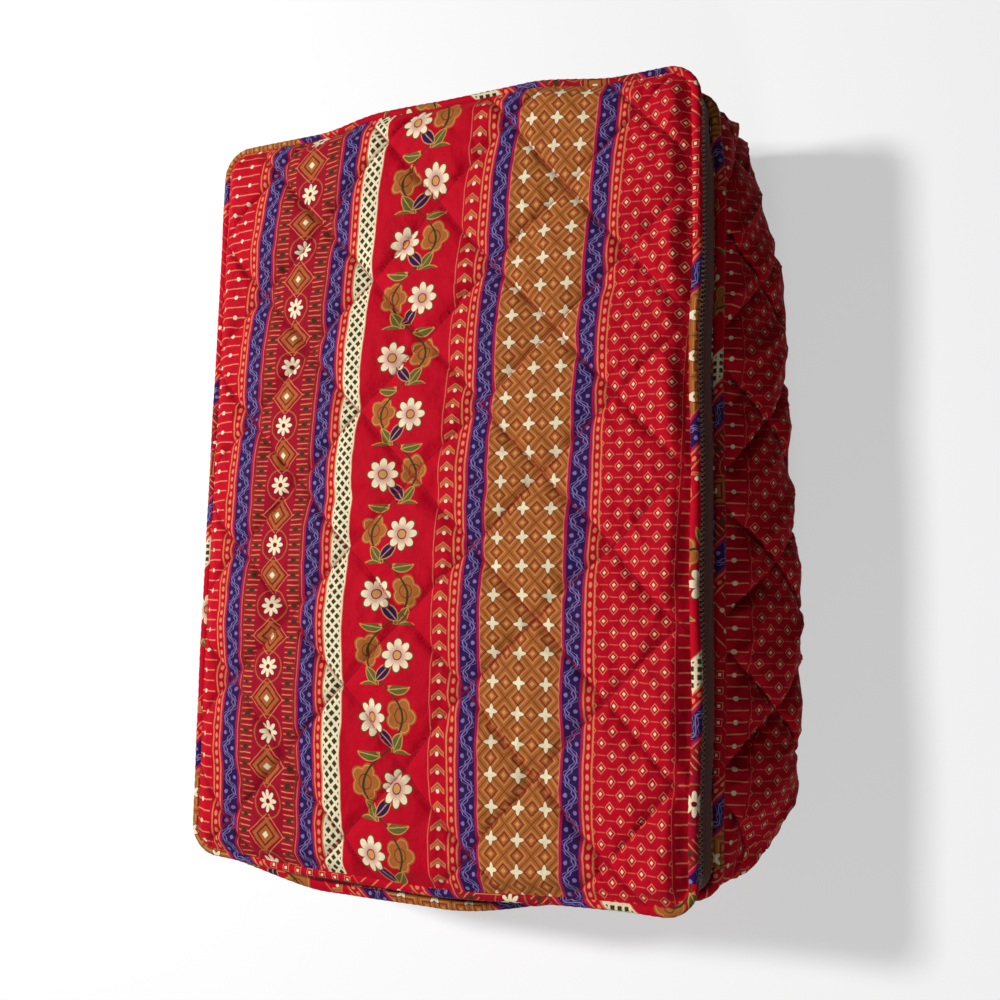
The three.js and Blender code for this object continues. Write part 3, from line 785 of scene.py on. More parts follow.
# %% [markdown]
# ## The whole print
# Side by side, the bands make one repeat of the cloth, as wide as the case. A node group holds them,
# so that every finish uses the same print and a change shows on all. A picture texture would be
# quicker to render, but it would blur up close. A little noise bends every line, because such
# prints are never quite even.

# %% Print group
BANDS = [
    (24, RED, bars), (5, RED, beads), (12, ROSE, wave), (38, RUBY, medallions), (12, ROSE, wave),
    (5, RED, beads), (11, MOSS, lace), (52, RED, garland), (10, RED, chevrons), (5, RED, beads),
    (12, ROSE, wave), (42, GOLD, lattice), (12, ROSE, wave), (5, RED, beads), (40, RED, sprigs),
]
REPEAT = float(sum(width for width, _, _ in BANDS))
BAND_EDGE = 0.4
EDGE_LINE = 0.45


def make_print():
    """A node group that turns a place on the cloth, in millimetres, into the print's colour."""
    group = bpy.data.node_groups.new("striped_print", "ShaderNodeTree")
    group.interface.new_socket("Place", in_out="INPUT", socket_type="NodeSocketVector")
    group.interface.new_socket("Colour", in_out="OUTPUT", socket_type="NodeSocketColor")
    start, end = group.nodes.new("NodeGroupInput"), group.nodes.new("NodeGroupOutput")
    place = start.outputs["Place"]
    u, v = split(place)
    u = u + noise(place, 0.035) * 2.6 + noise(place, 0.35) * 0.5
    v = v + noise(place, 0.04) * 2.0 + noise(place, 0.3) * 0.5
    across = reckon("WRAP", u, REPEAT, 0.0)
    colour, begin = RED, 0
    for width, ground, band in BANDS:
        x = across - (begin + width / 2)
        painted = band(ground, x, v, width)
        colour = lay(colour, painted, fill(abs(x) - width / 2, BAND_EDGE))
        colour = lay(colour, PEACH, line(x + width / 2, EDGE_LINE) * 0.7)
        begin = begin + width
    feed(end.inputs["Colour"], colour)
    print("striped print:", len(group.nodes), "nodes for", len(BANDS), "bands,", REPEAT, "mm wide")
    return group


PRINT = make_print()

# %% [markdown]
# ## Materials and bumps
# A finish is a Principled shader with a few plain values, and sums that drive its colour and its
# normal. Each could be made in the shader editor and saved. Made here, all of them read the place on
# the cloth from the piece's own UV map, so a finish stays on its piece when the lid opens.

# %% Materials and bumps
MILLIMETRES = 1000.0


def new_material(name, **values):
    """A material with its shader, and plain values set on the shader's own sockets."""
    material = bpy.data.materials.new(name)
    material.use_nodes = True
    tree = material.node_tree
    shader = tree.nodes["Principled BSDF"]
    for socket, value in values.items():
        shader.inputs[socket.replace("_", " ")].default_value = value
    return material, tree, shader


def cloth_place(tree, turn=0.0, shift=(0.0, 0.0, 0.0)):
    """The place on the cloth from the UV map, in millimetres, turned on the flat and shifted."""
    source = tree.nodes.new("ShaderNodeUVMap")
    source.uv_map = "cloth"
    mapping = tree.nodes.new("ShaderNodeMapping")
    mapping.inputs["Scale"].default_value = (MILLIMETRES, MILLIMETRES, MILLIMETRES)
    mapping.inputs["Rotation"].default_value = (0, 0, turn)
    mapping.inputs["Location"].default_value = shift
    feed(mapping.inputs["Vector"], source.outputs["UV"])
    return mapping.outputs["Vector"]


def object_place(tree):
    """The place on a rigid piece, in metres."""
    return tree.nodes.new("ShaderNodeTexCoord").outputs["Object"]


def bump(tree, height, distance, under=None):
    """A bump of a height in metres, on top of another."""
    node = tree.nodes.new("ShaderNodeBump")
    node.inputs["Distance"].default_value = distance
    feed(node.inputs["Height"], height)
    if under is not None:
        feed(node.inputs["Normal"], under)
    return node.outputs["Normal"]


print("one metre of cloth is", MILLIMETRES, "units of the print")

# %% [markdown]
# ## Weave, quilting thread and painted valley shade
# From near, cotton shows its weave, and each quilting line is a row of short stitches in a shaded
# valley. Real threads would be millions of faces, so the weave is a fine bump: two waves crossed.
# The thread, and a painted shade along its valley, are drawn from the line coordinates that the
# quilting kept with every point, so they run exactly where the padding is pulled down.

# %% Weave and quilting thread
THREAD_PITCH = 0.42
THREAD_HALF = 0.28
STITCH_PITCH = 3.1
STITCH_HALF = 1.15
VALLEY_HALF = 0.7
VALLEY_SOFT = 1.4


def weave(place):
    """Threads over and under each other, as a height from 0 to 1."""
    x, y = split(place)
    warp = reckon("SINE", x * (np.pi / THREAD_PITCH))
    weft = reckon("SINE", y * (np.pi / THREAD_PITCH))
    return warp * weft * 0.5 + 0.5


def quilting_thread_and_shade(tree):
    """Masks of the thread, and of the valley along the quilting lines, where shade is painted."""
    source = tree.nodes.new("ShaderNodeAttribute")
    source.attribute_name = "quilt"
    a, b = split(source.outputs["Vector"])
    a, b = a * MILLIMETRES, b * MILLIMETRES
    to_a, to_b = (abs(wrap(value, LINE_PITCH * MILLIMETRES)) for value in (a, b))
    first = both(to_a - THREAD_HALF, abs(wrap(b, STITCH_PITCH)) - STITCH_HALF)
    second = both(to_b - THREAD_HALF, abs(wrap(a, STITCH_PITCH)) - STITCH_HALF)
    valley = fill(either(to_a, to_b) - VALLEY_HALF, VALLEY_SOFT)
    return both(fill(first, 0.2), fill(second, 0.2)), valley


print("threads lie", THREAD_PITCH, "mm apart and stitches", STITCH_PITCH, "mm")

# %% [markdown]
# ## The printed cotton
# All the cotton shares one finish: the print, the faint unevenness of dye, the thread in its valley,
# a painted shade along the valley, the weave as a fine bump, and hardly any shine. A plain red with a
# fabric preset would be simpler, but the bands are what the eye sees first. Each panel is cut from
# the cloth in its own place, so it gets its own turn and shift. A cord is wrapped in the same cloth
# cut on the bias, so the bands run round it at 45 degrees and show as patches of colour.

# %% Printed cotton
THREAD = dye("a01028")
# How much wine red is painted into the quilting valleys as shade.
VALLEY_SHADE = 0.45
CRINKLE = 0.0004


def printed_cotton(name, turn=0.0, shift=(0.0, 0.0, 0.0), quilted=True, crinkle=CRINKLE):
    """Printed cotton, plain or quilted, cut with the print turned and shifted on the piece."""
    material, tree, shader = new_material(
        name, Roughness=0.7, Sheen_Weight=0.02, Sheen_Roughness=0.4, Specular_IOR_Level=0.06
    )
    place = cloth_place(tree, turn, shift)
    group = tree.nodes.new("ShaderNodeGroup")
    group.node_tree = PRINT
    feed(group.inputs["Place"], place)
    colour = lay(group.outputs["Colour"], WINE, patches(place, 0.06, 4.0, 1.3, 0.30) * 0.22)
    colour = lay(colour, SOOT, patches(place, 1.1, 3.0, 2.4, 0.25) * 0.16)
    normal = bump(tree, weave(place) * 0.5 + noise(place, 0.9, 3.0), 0.00012)
    normal = bump(tree, noise(place, 0.11, 3.0), crinkle * 4, normal)
    if quilted:
        thread, valley = quilting_thread_and_shade(tree)
        # Painted shade: the quilting valleys are darkened with wine red.
        colour = lay(colour, WINE, valley * VALLEY_SHADE)
        colour = lay(colour, THREAD, thread * 0.6)
        normal = bump(tree, thread, 0.0004, normal)
    feed(shader.inputs["Base Color"], colour)
    feed(shader.inputs["Normal"], normal)
    return material


LID_CLOTH = printed_cotton("lid_cloth")
WALL_CLOTH = printed_cotton("wall_cloth", turn=-np.pi / 2, shift=(197.0, 0.0, 0.0))
BASE_CLOTH = printed_cotton("base_cloth", shift=(0.0, 19.0, 0.0))
LOOP_CLOTH = printed_cotton("loop_cloth", shift=(170.0, 0.0, 0.0), quilted=False)
CORD_CLOTH = printed_cotton("cord_cloth", turn=np.pi / 4, quilted=False, crinkle=0.0002)
print("cotton finishes:", [m.name for m in bpy.data.materials if m.name.endswith("_cloth")])

# %% [markdown]
# ## Rounded grids
# A flat panel is a rectangle with round corners. A grid cut off at the corners would have a jagged
# edge, and a fan of triangles would show in the light. So a square grid is squeezed into the quarter
# circle at each corner, and its edge stays one clean row. The grid is finer at the edges, where the
# panel rolls down to its seam.

# %% Rounded grids
def grid_line(half, step, edge_step):
    """Places across a piece: even steps in the middle, and finer ones towards both edges."""
    share = np.linspace(-1, 1, int(round(2 * half / step)))
    fine = edge_step / step
    return half * (share * fine + (1 - fine) * share * (1.5 - 0.5 * share * share))


def rounded_grid(half_x, half_y, radius, step, edge_step):
    """A grid over a rounded rectangle. In each corner square, places (p, q) from 0 to 1 are squeezed
    to p * sqrt(1 - q * q / 2) and q * sqrt(1 - p * p / 2), which bends the square's edge to a circle."""
    lines = [grid_line(half, step, edge_step) for half in (half_x, half_y)]
    x, y = np.meshgrid(*lines, indexing="ij")
    p = np.clip((np.abs(x) - half_x + radius) / radius, 0, None)
    q = np.clip((np.abs(y) - half_y + radius) / radius, 0, None)
    squeeze_x = radius * (p * np.sqrt(np.maximum(1 - q * q / 2, 0)) - p)
    squeeze_y = radius * (q * np.sqrt(np.maximum(1 - p * p / 2, 0)) - q)
    return x + np.sign(x) * squeeze_x, y + np.sign(y) * squeeze_y


def distance_in(x, y, half_x, half_y, radius):
    """How far a place lies inside the edge of a rounded rectangle."""
    dx, dy = np.abs(x) - half_x + radius, np.abs(y) - half_y + radius
    outside = np.hypot(np.maximum(dx, 0), np.maximum(dy, 0)) + np.minimum(np.maximum(dx, dy), 0)
    return radius - outside


def crown_over(x, y, half_x, half_y):
    """A low dome over a rectangle: 1 in the middle and 0 along the edges."""
    return (1 - (x / half_x) ** 2) * (1 - (y / half_y) ** 2)


print("the middle of the lid lies", distance_in(0, 0, SEAM_WIDTH / 2, SEAM_LENGTH / 2, CORNER), "m in")

# %% [markdown]
# ## The lid
# The lid is a rectangle of quilted cotton, eased into the piping all round, with a few creases where
# the case was folded in a cupboard. It could be a plane with a displacement map. A height worked out
# on the grid gives the same form, and its parts can be changed one by one: a low crown, a steep roll
# down to the cord, the quilting, gathers along the seam and the creases. The cloth lies a little
# askew on the case, as in the photograph, so its bands bow across as they run along it.

# %% Creases and the skewed cloth
SKEW_BOW = 0.006
SKEW_LEAN = 0.008

# Each crease: its two ends, its width and its depth
LID_CREASES = [
    ((0.075, 0.088), (0.141, 0.094), 0.005, 0.0022),
    ((-0.115, -0.012), (0.085, -0.004), 0.006, 0.0016),
    ((-0.13, -0.15), (-0.06, -0.185), 0.008, 0.0025),
]


def crease(x, y, start, end, width, depth):
    """A soft valley along a line between two places."""
    start, end = np.array(start), np.array(end)
    run = end - start
    share = np.clip(((x - start[0]) * run[0] + (y - start[1]) * run[1]) / (run @ run), 0, 1)
    gap = np.hypot(x - start[0] - share * run[0], y - start[1] - share * run[1])
    fade = np.sin(np.pi * np.clip(share, 0.02, 0.98)) ** 0.5
    return -depth * fade * np.exp(-((gap / width) ** 2))


def off_grain(y):
    """How far the cloth is shifted across the case: half a wave along it, and a steady lean."""
    half = SEAM_LENGTH / 2
    return SKEW_BOW * np.sin((y + half) / SEAM_LENGTH * np.pi) - SKEW_LEAN * (y / half)


print("at the far end the cloth is shifted by", round(float(off_grain(0.2)) * 1000, 1), "mm")

# %% Lid
LID_INSET = 0.0014
LID_HALF_X = SEAM_WIDTH / 2 - LID_INSET
LID_HALF_Y = SEAM_LENGTH / 2 - LID_INSET
LID_STEP = 0.00125
LID_CROWN = 0.0030
LID_ROLL = 0.014
LID_PUFF = 0.0048
LID_PROUD = 0.0030
LID_UNDULATION = 0.0006
LID_GATHER = 0.0009

# Under the lid: shares of its size, and heights over the seam
LID_UNDERSIDE = [(1.0, 0.0008), (0.93, 0.0008), (0.6, 0.0030), (0.25, 0.0042)]


def lid_height(x, y, inside, puffed):
    """The height of the lid's face: crown, roll, quilting, gathers and creases."""
    _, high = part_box("lid_panel")
    edge_z = LID_SEAM + CORD * 0.30
    rise = high.z + LID_PROUD - LID_CROWN - LID_PUFF - edge_z
    roll = 1 - (1 - np.clip(inside / LID_ROLL, 0, 1)) ** 2.2
    gather = hills((x + y) * 0.7, (x - y) * 0.7, 0.0075, 30) * np.exp(-inside / 0.012)
    z = edge_z + (rise + LID_UNDULATION * hills(x, y, 0.07, 31)) * roll
    z = z + LID_CROWN * crown_over(x, y, LID_HALF_X, LID_HALF_Y)
    z = z + puffed * ease(inside, 0, 0.010) + LID_GATHER * gather * ease(inside, 0, 0.003)
    return z + sum(crease(x, y, *values) for values in LID_CREASES)


def make_lid():
    radius = CORNER - LID_INSET
    x, y = rounded_grid(LID_HALF_X, LID_HALF_Y, radius, LID_STEP, LID_STEP / 3)
    puffed, lines = quilt(x + off_grain(y), y, LID_PUFF, 20)
    z = lid_height(x, y, distance_in(x, y, LID_HALF_X, LID_HALF_Y, radius), puffed)
    top = settle(np.stack([x, y, z], -1))
    under = settle(drawn_in(x, y, [(share, LID_SEAM + rise) for share, rise in LID_UNDERSIDE]))
    cloth = np.stack([x + off_grain(y) + SEAM_WIDTH / 2, y + SEAM_LENGTH / 2], -1)
    lid = pad("lid_quilt", top, under, cloth, lines)
    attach(lid, "lid")
    dress(lid, LID_CLOTH, "print_cotton", "lid_panel")
    print("the lid's top is at", round(float(top[..., 2].max()), 4))


make_lid()

# %% [markdown]
# ## How the walls belly
# An empty case pushes its walls out. The right wall bellies most, and soonest after the near corner,
# which the photograph shows. A soft body or a lattice could push them. A table of how deep
# the belly is on the way round, smoothed so that its places don't show, is easier to fit to the
# photograph's outline. Up the wall it is half a sine wave.

# %% Belly
WALL_LOW = BASE_SEAM + CORD_CLEAR
WALL_HIGH = BODY_SEAM - CORD_CLEAR
BELLY_TURNS = [
    0, 0.03, 0.06, 0.1, 0.2, 0.32, 0.6, 0.8, 0.92, 1, 1.5, 2, 2.1, 2.25, 2.5, 2.75, 2.9, 3, 3.5,
    4, 4.05, 4.12, 4.25, 4.5, 4.75, 4.88, 4.95, 5, 5.5, 6, 6.1, 6.25, 6.5, 6.75, 6.9, 7, 7.5, 8,
]
BELLY_MM = [
    12, 22, 29, 32, 33, 32.5, 27.5, 25, 14, 5, 2, 2, 8, 11.4, 12, 11.4, 8, 3, 3,
    5, 13, 22, 28.5, 30, 28.5, 22, 13, 5, 4, 4, 8, 11.4, 12, 11.4, 9, 5, 7, 12,
]
BELLY_STEPS = 2400
BELLY_REACH = 60
BELLY_SMOOTH = 0.007


def belly_table():
    """The belly round the outline, each place averaged with its neighbours by a bell curve."""
    s = np.linspace(0, ROUND, BELLY_STEPS + 1)
    depth = np.interp(s, turn_length(np.array(BELLY_TURNS)), np.array(BELLY_MM) / MILLIMETRES)
    reach = np.arange(-BELLY_REACH, BELLY_REACH + 1) * (ROUND / BELLY_STEPS)
    weights = np.exp(-((reach / BELLY_SMOOTH) ** 2))
    wrapped = np.concatenate([depth[-BELLY_REACH - 1:-1], depth, depth[1:BELLY_REACH + 1]])
    return s, np.convolve(wrapped, weights / weights.sum(), mode="valid")


BELLY_S, BELLY_DEPTH = belly_table()


def belly(s, z):
    """How far a wall stands out of its seams: its depth there times a sine of the height, made
    fuller by a power under 1."""
    share = np.clip((z - WALL_LOW) / (WALL_HIGH - WALL_LOW), 0, 1)
    return np.interp(np.mod(s, ROUND), BELLY_S, BELLY_DEPTH) * np.sin(np.pi * share) ** 0.9


print("deepest belly:", round(float(BELLY_DEPTH.max()), 4))

# %% [markdown]
# ## The walls
# Each wall is one quilted panel from the base cord to the body cord, turned in to its seam at the
# middle of each corner. It could be one strip round the case, but the real one is four panels, and
# their cloth meets at the corners. A wall is a skin over its cross sections: the outer face hugs
# the lower cord, bellies and hugs the upper cord, and a plain inner face closes it. The padding is
# pushed out square to the belly.

# %% A wall's outer face
WALL_STEP = 0.0014
WALL_CLIMB = 0.1
HUG_STEPS = 5


def wall_line(side):
    """Lengths along a wall, with half a corner at each end. They lie closer at both ends."""
    start = turn_length(side) - BEND / 2 + SEAM_GAP / 2
    length = LEG_LENGTHS[side] + BEND - SEAM_GAP
    share = np.linspace(-1, 1, int(length / WALL_STEP))
    share = share * 0.6 + 0.4 * share * (1.5 - 0.5 * share * share)
    return start + length * (share + 1) / 2


def wall_face(s_values):
    """The smooth outer face as a grid, and how far up the cloth each of its points is."""
    hug = np.linspace(np.radians(165), np.radians(90), HUG_STEPS, endpoint=False)
    heights = np.linspace(WALL_LOW, WALL_HIGH, int(WALL_CLIMB / WALL_STEP))
    lower, upper = BASE_SEAM + np.sin(hug) * CORD_CLEAR, BODY_SEAM - np.sin(hug[::-1]) * CORD_CLEAR
    inward = np.cos(hug) * CORD_CLEAR
    offset = np.concatenate([inward, np.zeros(len(heights)), inward[::-1]])
    s, z = np.meshgrid(s_values, np.concatenate([lower, heights, upper]), indexing="ij")
    smooth = beside(s, offset[None, :] + belly(s, z), z)
    steps = np.linalg.norm(np.diff(smooth[len(s_values) // 2], axis=0), axis=1)
    climb = np.concatenate([[0], np.cumsum(steps)])
    return s, np.broadcast_to(climb, s.shape), smooth


def outward_normals(grid):
    """Unit normals of a grid of points, from the cross product of its two directions."""
    normal = np.cross(np.gradient(grid, axis=0), np.gradient(grid, axis=1))
    return normal / np.maximum(np.linalg.norm(normal, axis=-1, keepdims=True), 1e-12)


print("the right wall has", len(wall_line(0)), "cross sections")

# %% Walls
WALL = 0.005
WALL_BACK = 0.002
BACK_ROWS = 14
FOLD_SHARE = 0.28
FOLD_SIZE = 0.016
WALL_GATHER = 0.0012
SEAM_DIP = 0.0022


def wall_padding(s, v, deep, sunk, seed):
    """How far the cloth stands out of the smooth belly: quilting, slack folds and gathers, turned
    in towards the seams. sunk is the share of the padding that lies under the belly."""
    quilted, lines = quilt(s, v, deep, seed)
    at_seam = np.minimum(s - s[0, 0], s[-1, 0] - s)
    at_cord = np.minimum(v, v[0, -1] - v)
    folds = wrinkles((s + v) * 0.7, (s - v) * 0.25, FOLD_SIZE, seed + 7) * deep * FOLD_SHARE
    gather = hills(s, v * 0.2, 0.006, seed + 8) * np.exp(-at_cord / 0.010) * WALL_GATHER
    puff = (quilted - deep * sunk + folds) * ease(at_cord, 0.003, 0.012)
    puff = puff + gather * ease(at_cord, 0.002, 0.006)
    dip = SEAM_DIP * (1 - ease(at_seam, 0, 0.0035)) * ease(at_cord, 0.004, 0.010)
    return puff * ease(at_seam, 0, 0.006) - dip, lines


def make_wall(name, node, side, deep, sunk, seed):
    """One wall: its puffed face outside and a plain face inside, closed at its two seams."""
    s_values = wall_line(side)
    s, v, smooth = wall_face(s_values)
    puff, lines = wall_padding(s, v, deep, sunk, seed)
    outer = smooth + outward_normals(smooth) * puff[..., None]
    levels = np.linspace(WALL_HIGH + WALL_BACK, WALL_LOW - WALL_BACK, BACK_ROWS)
    back_s, back_z = np.meshgrid(s_values, levels, indexing="ij")
    inner = beside(back_s, belly(back_s, back_z) - WALL, back_z)
    back_v = np.broadcast_to(np.linspace(v[0, -1], 0, BACK_ROWS), back_s.shape)
    cloth, back_cloth = np.stack([s, v], -1), np.stack([back_s, back_v], -1)
    cloth = np.concatenate([cloth, back_cloth, cloth[:, :1]], axis=1)
    no_line = np.full((*back_s.shape, 3), LINE_PITCH / 2)
    rings = settle(np.concatenate([outer, inner], axis=1))
    wall = skin(name, rings, cloth, stitches=np.concatenate([lines, no_line], axis=1))
    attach(wall, "case")
    dress(wall, WALL_CLOTH, "print_cotton", node)


make_wall("right_wall_quilt", "side_panel_right", 0, 0.0058, 0.5, 40)
make_wall("far_wall_quilt", "end_panel_far", 2, 0.0030, 1.15, 50)
make_wall("hinge_wall_quilt", "side_panel_hinge", 4, 0.0045, 0.6, 60)
make_wall("near_wall_quilt", "end_panel_near", 6, 0.0030, 1.15, 70)

# %% [markdown]
# ## The base
# The underside is quilted too, but the weight of the case presses its puffs flat on the table. It
# could be a plain plate, as it hardly shows, but the case can be turned over. So it is a pad like
# the lid, and the stitched valleys are its only relief.

# %% Base
BASE_PRESS = 0.0013
BASE_ROLL = 0.004
BASE_COARSER = 1.4
BASE_TOP = 0.005

# Over the underside: shares of its size, and levels
BASE_INSIDE = [
    (1.0, BASE_SEAM - 0.0008), (0.955, BASE_SEAM - 0.0008),
    (0.93, BASE_TOP), (0.5, BASE_TOP), (0.1, BASE_TOP),
]


def make_base():
    half_x, half_y = SEAM_WIDTH / 2 - CORD_CLEAR, SEAM_LENGTH / 2 - CORD_CLEAR
    radius = CORNER - CORD_CLEAR
    step = LID_STEP * BASE_COARSER
    x, y = rounded_grid(half_x, half_y, radius, step, step / 3)
    inside = distance_in(x, y, half_x, half_y, radius)
    height, lines = quilt(x, y, BASE_PRESS, 80, pucker=0.0003)
    lift = (1 - np.clip(inside / BASE_ROLL, 0, 1)) ** 2 * (BASE_SEAM - 0.001)
    z = np.clip(BASE_PRESS - height, 0, None) * ease(inside, 0, BASE_ROLL) + lift
    cloth = np.stack([x + SEAM_WIDTH / 2, y + SEAM_LENGTH / 2], -1)
    base = pad("base_quilt", np.stack([x, y, z], -1), drawn_in(x, y, BASE_INSIDE), cloth, lines)
    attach(base, "case")
    dress(base, BASE_CLOTH, "print_cotton", "base_panel")


make_base()

# %% [markdown]
# ## Piping
# Piping is a cord wrapped in a bias strip, whose two edges make a flange that is sewn into the seam.
# It could be a curve with a round bevel, but then it would have no flange and no even place on the
# cloth. Here it is one section, a circle with a flat tail, carried all the way round. The radius
# swells and shrinks a little along the bias, because the strip is never pulled quite evenly.

# %% Piping
FLANGE = 0.006
FLANGE_HALF = 0.0005
CORD_POINTS = 18
CORD_STEP = 0.0016
BIAS_PITCH = 0.0045


def cord_section(s):
    """Offsets and heights round the cord from the flange's root and back, then out along the tail."""
    angle = np.radians(170) - np.linspace(0, np.radians(340), CORD_POINTS)
    s, angle = np.meshgrid(s, angle, indexing="ij")
    girth = angle * CORD / 2
    swell = 0.00012 * np.sin((s + girth) * 2 * np.pi / BIAS_PITCH) + 0.00022 * hills(s, girth, 0.02, 90)
    radius = CORD / 2 + swell - 0.0001
    tail = -(CORD / 2 + FLANGE)
    tail_offset = np.broadcast_to([tail, tail], (len(s), 2))
    tail_z = np.broadcast_to([-FLANGE_HALF, FLANGE_HALF], (len(s), 2))
    offset = np.concatenate([np.cos(angle) * radius, tail_offset], axis=1)
    return offset, np.concatenate([np.sin(angle) * radius, tail_z], axis=1)


def make_cord(name, node, level, body, shift):
    """One closed ring of piping. shift says how far along the bias strip it was cut."""
    count = int(ROUND / CORD_STEP)
    s = np.linspace(0, ROUND, count, endpoint=False)
    offset, rise = cord_section(s)
    rings = settle(beside(np.broadcast_to(s[:, None], offset.shape), offset, level + rise))
    across = np.linspace(0, CORD * np.pi, offset.shape[1] + 1)
    cord = skin(name, rings, grid_of(np.linspace(0, ROUND, count + 1) + shift, across), joined=True)
    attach(cord, body)
    dress(cord, CORD_CLOTH, "piping_cotton", node)


make_cord("lid_cord", "lid_piping", LID_SEAM, "lid", 0.055)
make_cord("body_cord", "body_piping", BODY_SEAM, "case", 0.31)
make_cord("base_cord", "base_piping", BASE_SEAM, "case", 0.19)

# %% [markdown]
# ## Zip tape
# Two dark tapes run from the seams to the teeth, woven with fine ribs and sewn down with one row of
# stitches. A flat brown band would do from afar, but its ribs catch the light along the side. Each
# tape is a thin skin that stands on the seam outline, and its finish draws ribs with a painted
# highlight on their crests, picks and stitches from the place on the tape.

# %% Tape finish
RIB_PITCH = 1.15
PICK_PITCH = 0.6
STITCH_FROM_EDGE = 2.2
TAPE_STITCH_PITCH = 3.0


def make_tape_finish():
    """Dark brown tape: fine ribs along it with a painted highlight on their crests, a pale stitch line
    by its seam, and uneven dye.
    """
    material, tree, shader = new_material(
        "zip_tape_finish", Roughness=0.75, Sheen_Weight=0.05, Specular_IOR_Level=0.15
    )
    place = cloth_place(tree)
    along, across = split(place)
    ribs = reckon("SINE", across * (2 * np.pi / RIB_PITCH)) * 0.5 + 0.5
    picks = reckon("SINE", along * (2 * np.pi / PICK_PITCH)) * 0.5 + 0.5
    colour = lay(dye("2b0f09"), dye("43190f"), patches(place, 0.4, 3.0, 1.0, 0.4))
    # Painted highlight: the crests of the ribs are lighter brown.
    colour = lay(colour, dye("6a3320"), ribs * 0.25)
    stitch = both(abs(across - STITCH_FROM_EDGE) - 0.25, abs(wrap(along, TAPE_STITCH_PITCH)) - 1.1)
    stitch = fill(stitch, 0.2)
    feed(shader.inputs["Base Color"], lay(colour, dye("8a5138"), stitch))
    feed(shader.inputs["Normal"], bump(tree, ribs * 0.7 + picks * 0.3 + stitch, 0.0003))
    return material


TAPE = make_tape_finish()
print("tape finish:", TAPE.name)

# %% Tapes
TAPE_OUT = -CORD_CLEAR
TAPE_THICK = 0.0009
TAPE_SUNK = 0.0001
TAPE_BOW = 0.0007
TAPE_PLACES = 620
TAPE_ROWS = 9
TAPE_END_GAP = 0.0002
EDGE_GAP = 0.0002
COIL_ROOM = 0.0015
SEAM_TUCK = 0.0008
CHAIN_FADE = 0.002
CHAIN_START = turn_length(6) + CHAIN_FADE
CHAIN_END = turn_length(3) + ROUND - CHAIN_FADE


def strip(name, s, rise, arc, sunk, width, *nodes):
    """A strip of tape on the seam outline. rise holds its heights from one long edge to the other,
    arc its bow outwards, sunk how deep its face lies, and width the way across it on the flat."""
    long_s = np.broadcast_to(s[:, None], rise.shape)
    outer = beside(long_s, TAPE_OUT + arc - sunk, rise)
    inner = beside(long_s, TAPE_OUT + arc - TAPE_THICK, rise)[:, ::-1]
    across = np.concatenate([width, width[:, ::-1], width[:, :1]], axis=1)
    cloth = np.stack([np.broadcast_to(s[:, None], across.shape), across], -1)
    tape = skin(name, settle(np.concatenate([outer, inner], axis=1)), cloth)
    dress(tape, TAPE, "zip_tape", *nodes)
    return tape


def make_tape(name, node, side, body):
    """The tape steps back along the chain to leave room for the coil."""
    first, last = turn_length(5) + TAPE_END_GAP, turn_length(4) + ROUND - TAPE_END_GAP
    s = np.linspace(first, last, TAPE_PLACES)
    on_chain = ease(s, CHAIN_START - CHAIN_FADE, CHAIN_START)
    on_chain = on_chain * (1 - ease(s, CHAIN_END, CHAIN_END + CHAIN_FADE))
    edge_z = ZIP + side * (EDGE_GAP + COIL_ROOM * on_chain)
    seam_z = (LID_SEAM if side > 0 else BODY_SEAM) - side * SEAM_TUCK
    share = np.linspace(0, 1, TAPE_ROWS)
    reach = (edge_z[:, None] - seam_z) * share
    arc = TAPE_BOW * np.sin(np.pi * share)
    tape = strip(name, s, seam_z + reach, arc, TAPE_SUNK, np.abs(reach), node)
    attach(tape, body)


make_tape("lower_tape", "zip_tape_lower", -1, "case")
make_tape("upper_tape", "zip_tape_upper", 1, "lid")

# %% [markdown]
# ## Hinge cloth
# On the hinge side one strip of the same tape joins the two seams, and the lid folds on it. Two
# halves that meet at the fold would open a gap when the lid swings. So it is one strip, from the
# case's seam to the lid's.

# %% Hinge cloth
HINGE_PLACES = 260
HINGE_ROWS = 25
HINGE_END_GAP = 0.0004
HINGE_BOW = 0.0006
HINGE_WAVER = 0.0003


def make_hinge_cloth():
    first, last = turn_length(4) + HINGE_END_GAP, turn_length(5) - HINGE_END_GAP
    s = np.linspace(first, last, HINGE_PLACES)
    share = np.linspace(0, 1, HINGE_ROWS)
    low, high = BODY_SEAM + SEAM_TUCK, LID_SEAM - SEAM_TUCK
    width = np.broadcast_to((high - low) * share, (len(s), len(share)))
    arc = HINGE_BOW * np.sin(np.pi * share) + HINGE_WAVER * hills(s[:, None], share * 0.02, 0.01, 97)
    cloth = strip(
        "hinge_cloth", s, low + width, arc, 0.0, width, "hinge_strip_lower", "hinge_strip_upper"
    )
    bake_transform(cloth)


make_hinge_cloth()

# %% [markdown]
# ## Zip coils
# The teeth are a coil of thin nylon wire, one turn every 2.4 mm, and the two coils pass between each
# other. An array of single teeth would show a seam at each, and Blender's screw modifier can't follow
# the outline round its corners. So the wire is a helix about the tape's edge, pressed to an oval,
# and skinned with a ring of five points at each step.

# %% Coil finish
def make_coil_finish():
    """Nylon wire, brown and slightly glossy, with faint streaks of wear."""
    material, tree, shader = new_material("coil_finish", Roughness=0.32, Specular_IOR_Level=0.5)
    streak = patches(object_place(tree), 420.0, 2.0, 1.6, 0.5)
    feed(shader.inputs["Base Color"], lay(dye("3a1d12"), dye("6a3f29"), streak))
    feed(shader.inputs["Normal"], bump(tree, streak, 0.00006))
    return material


COIL = make_coil_finish()
print("coil finish:", COIL.name)

# %% Zip coils
COIL_PITCH = 0.0024
COIL_WIRE = 0.00042
COIL_STEPS = 12
COIL_SIDES = 5
COIL_MARGIN = 0.0045
COIL_SPINE = 0.0007
COIL_REACH = 0.0011
COIL_IN = 0.0006
COIL_DEPTH = 0.00085


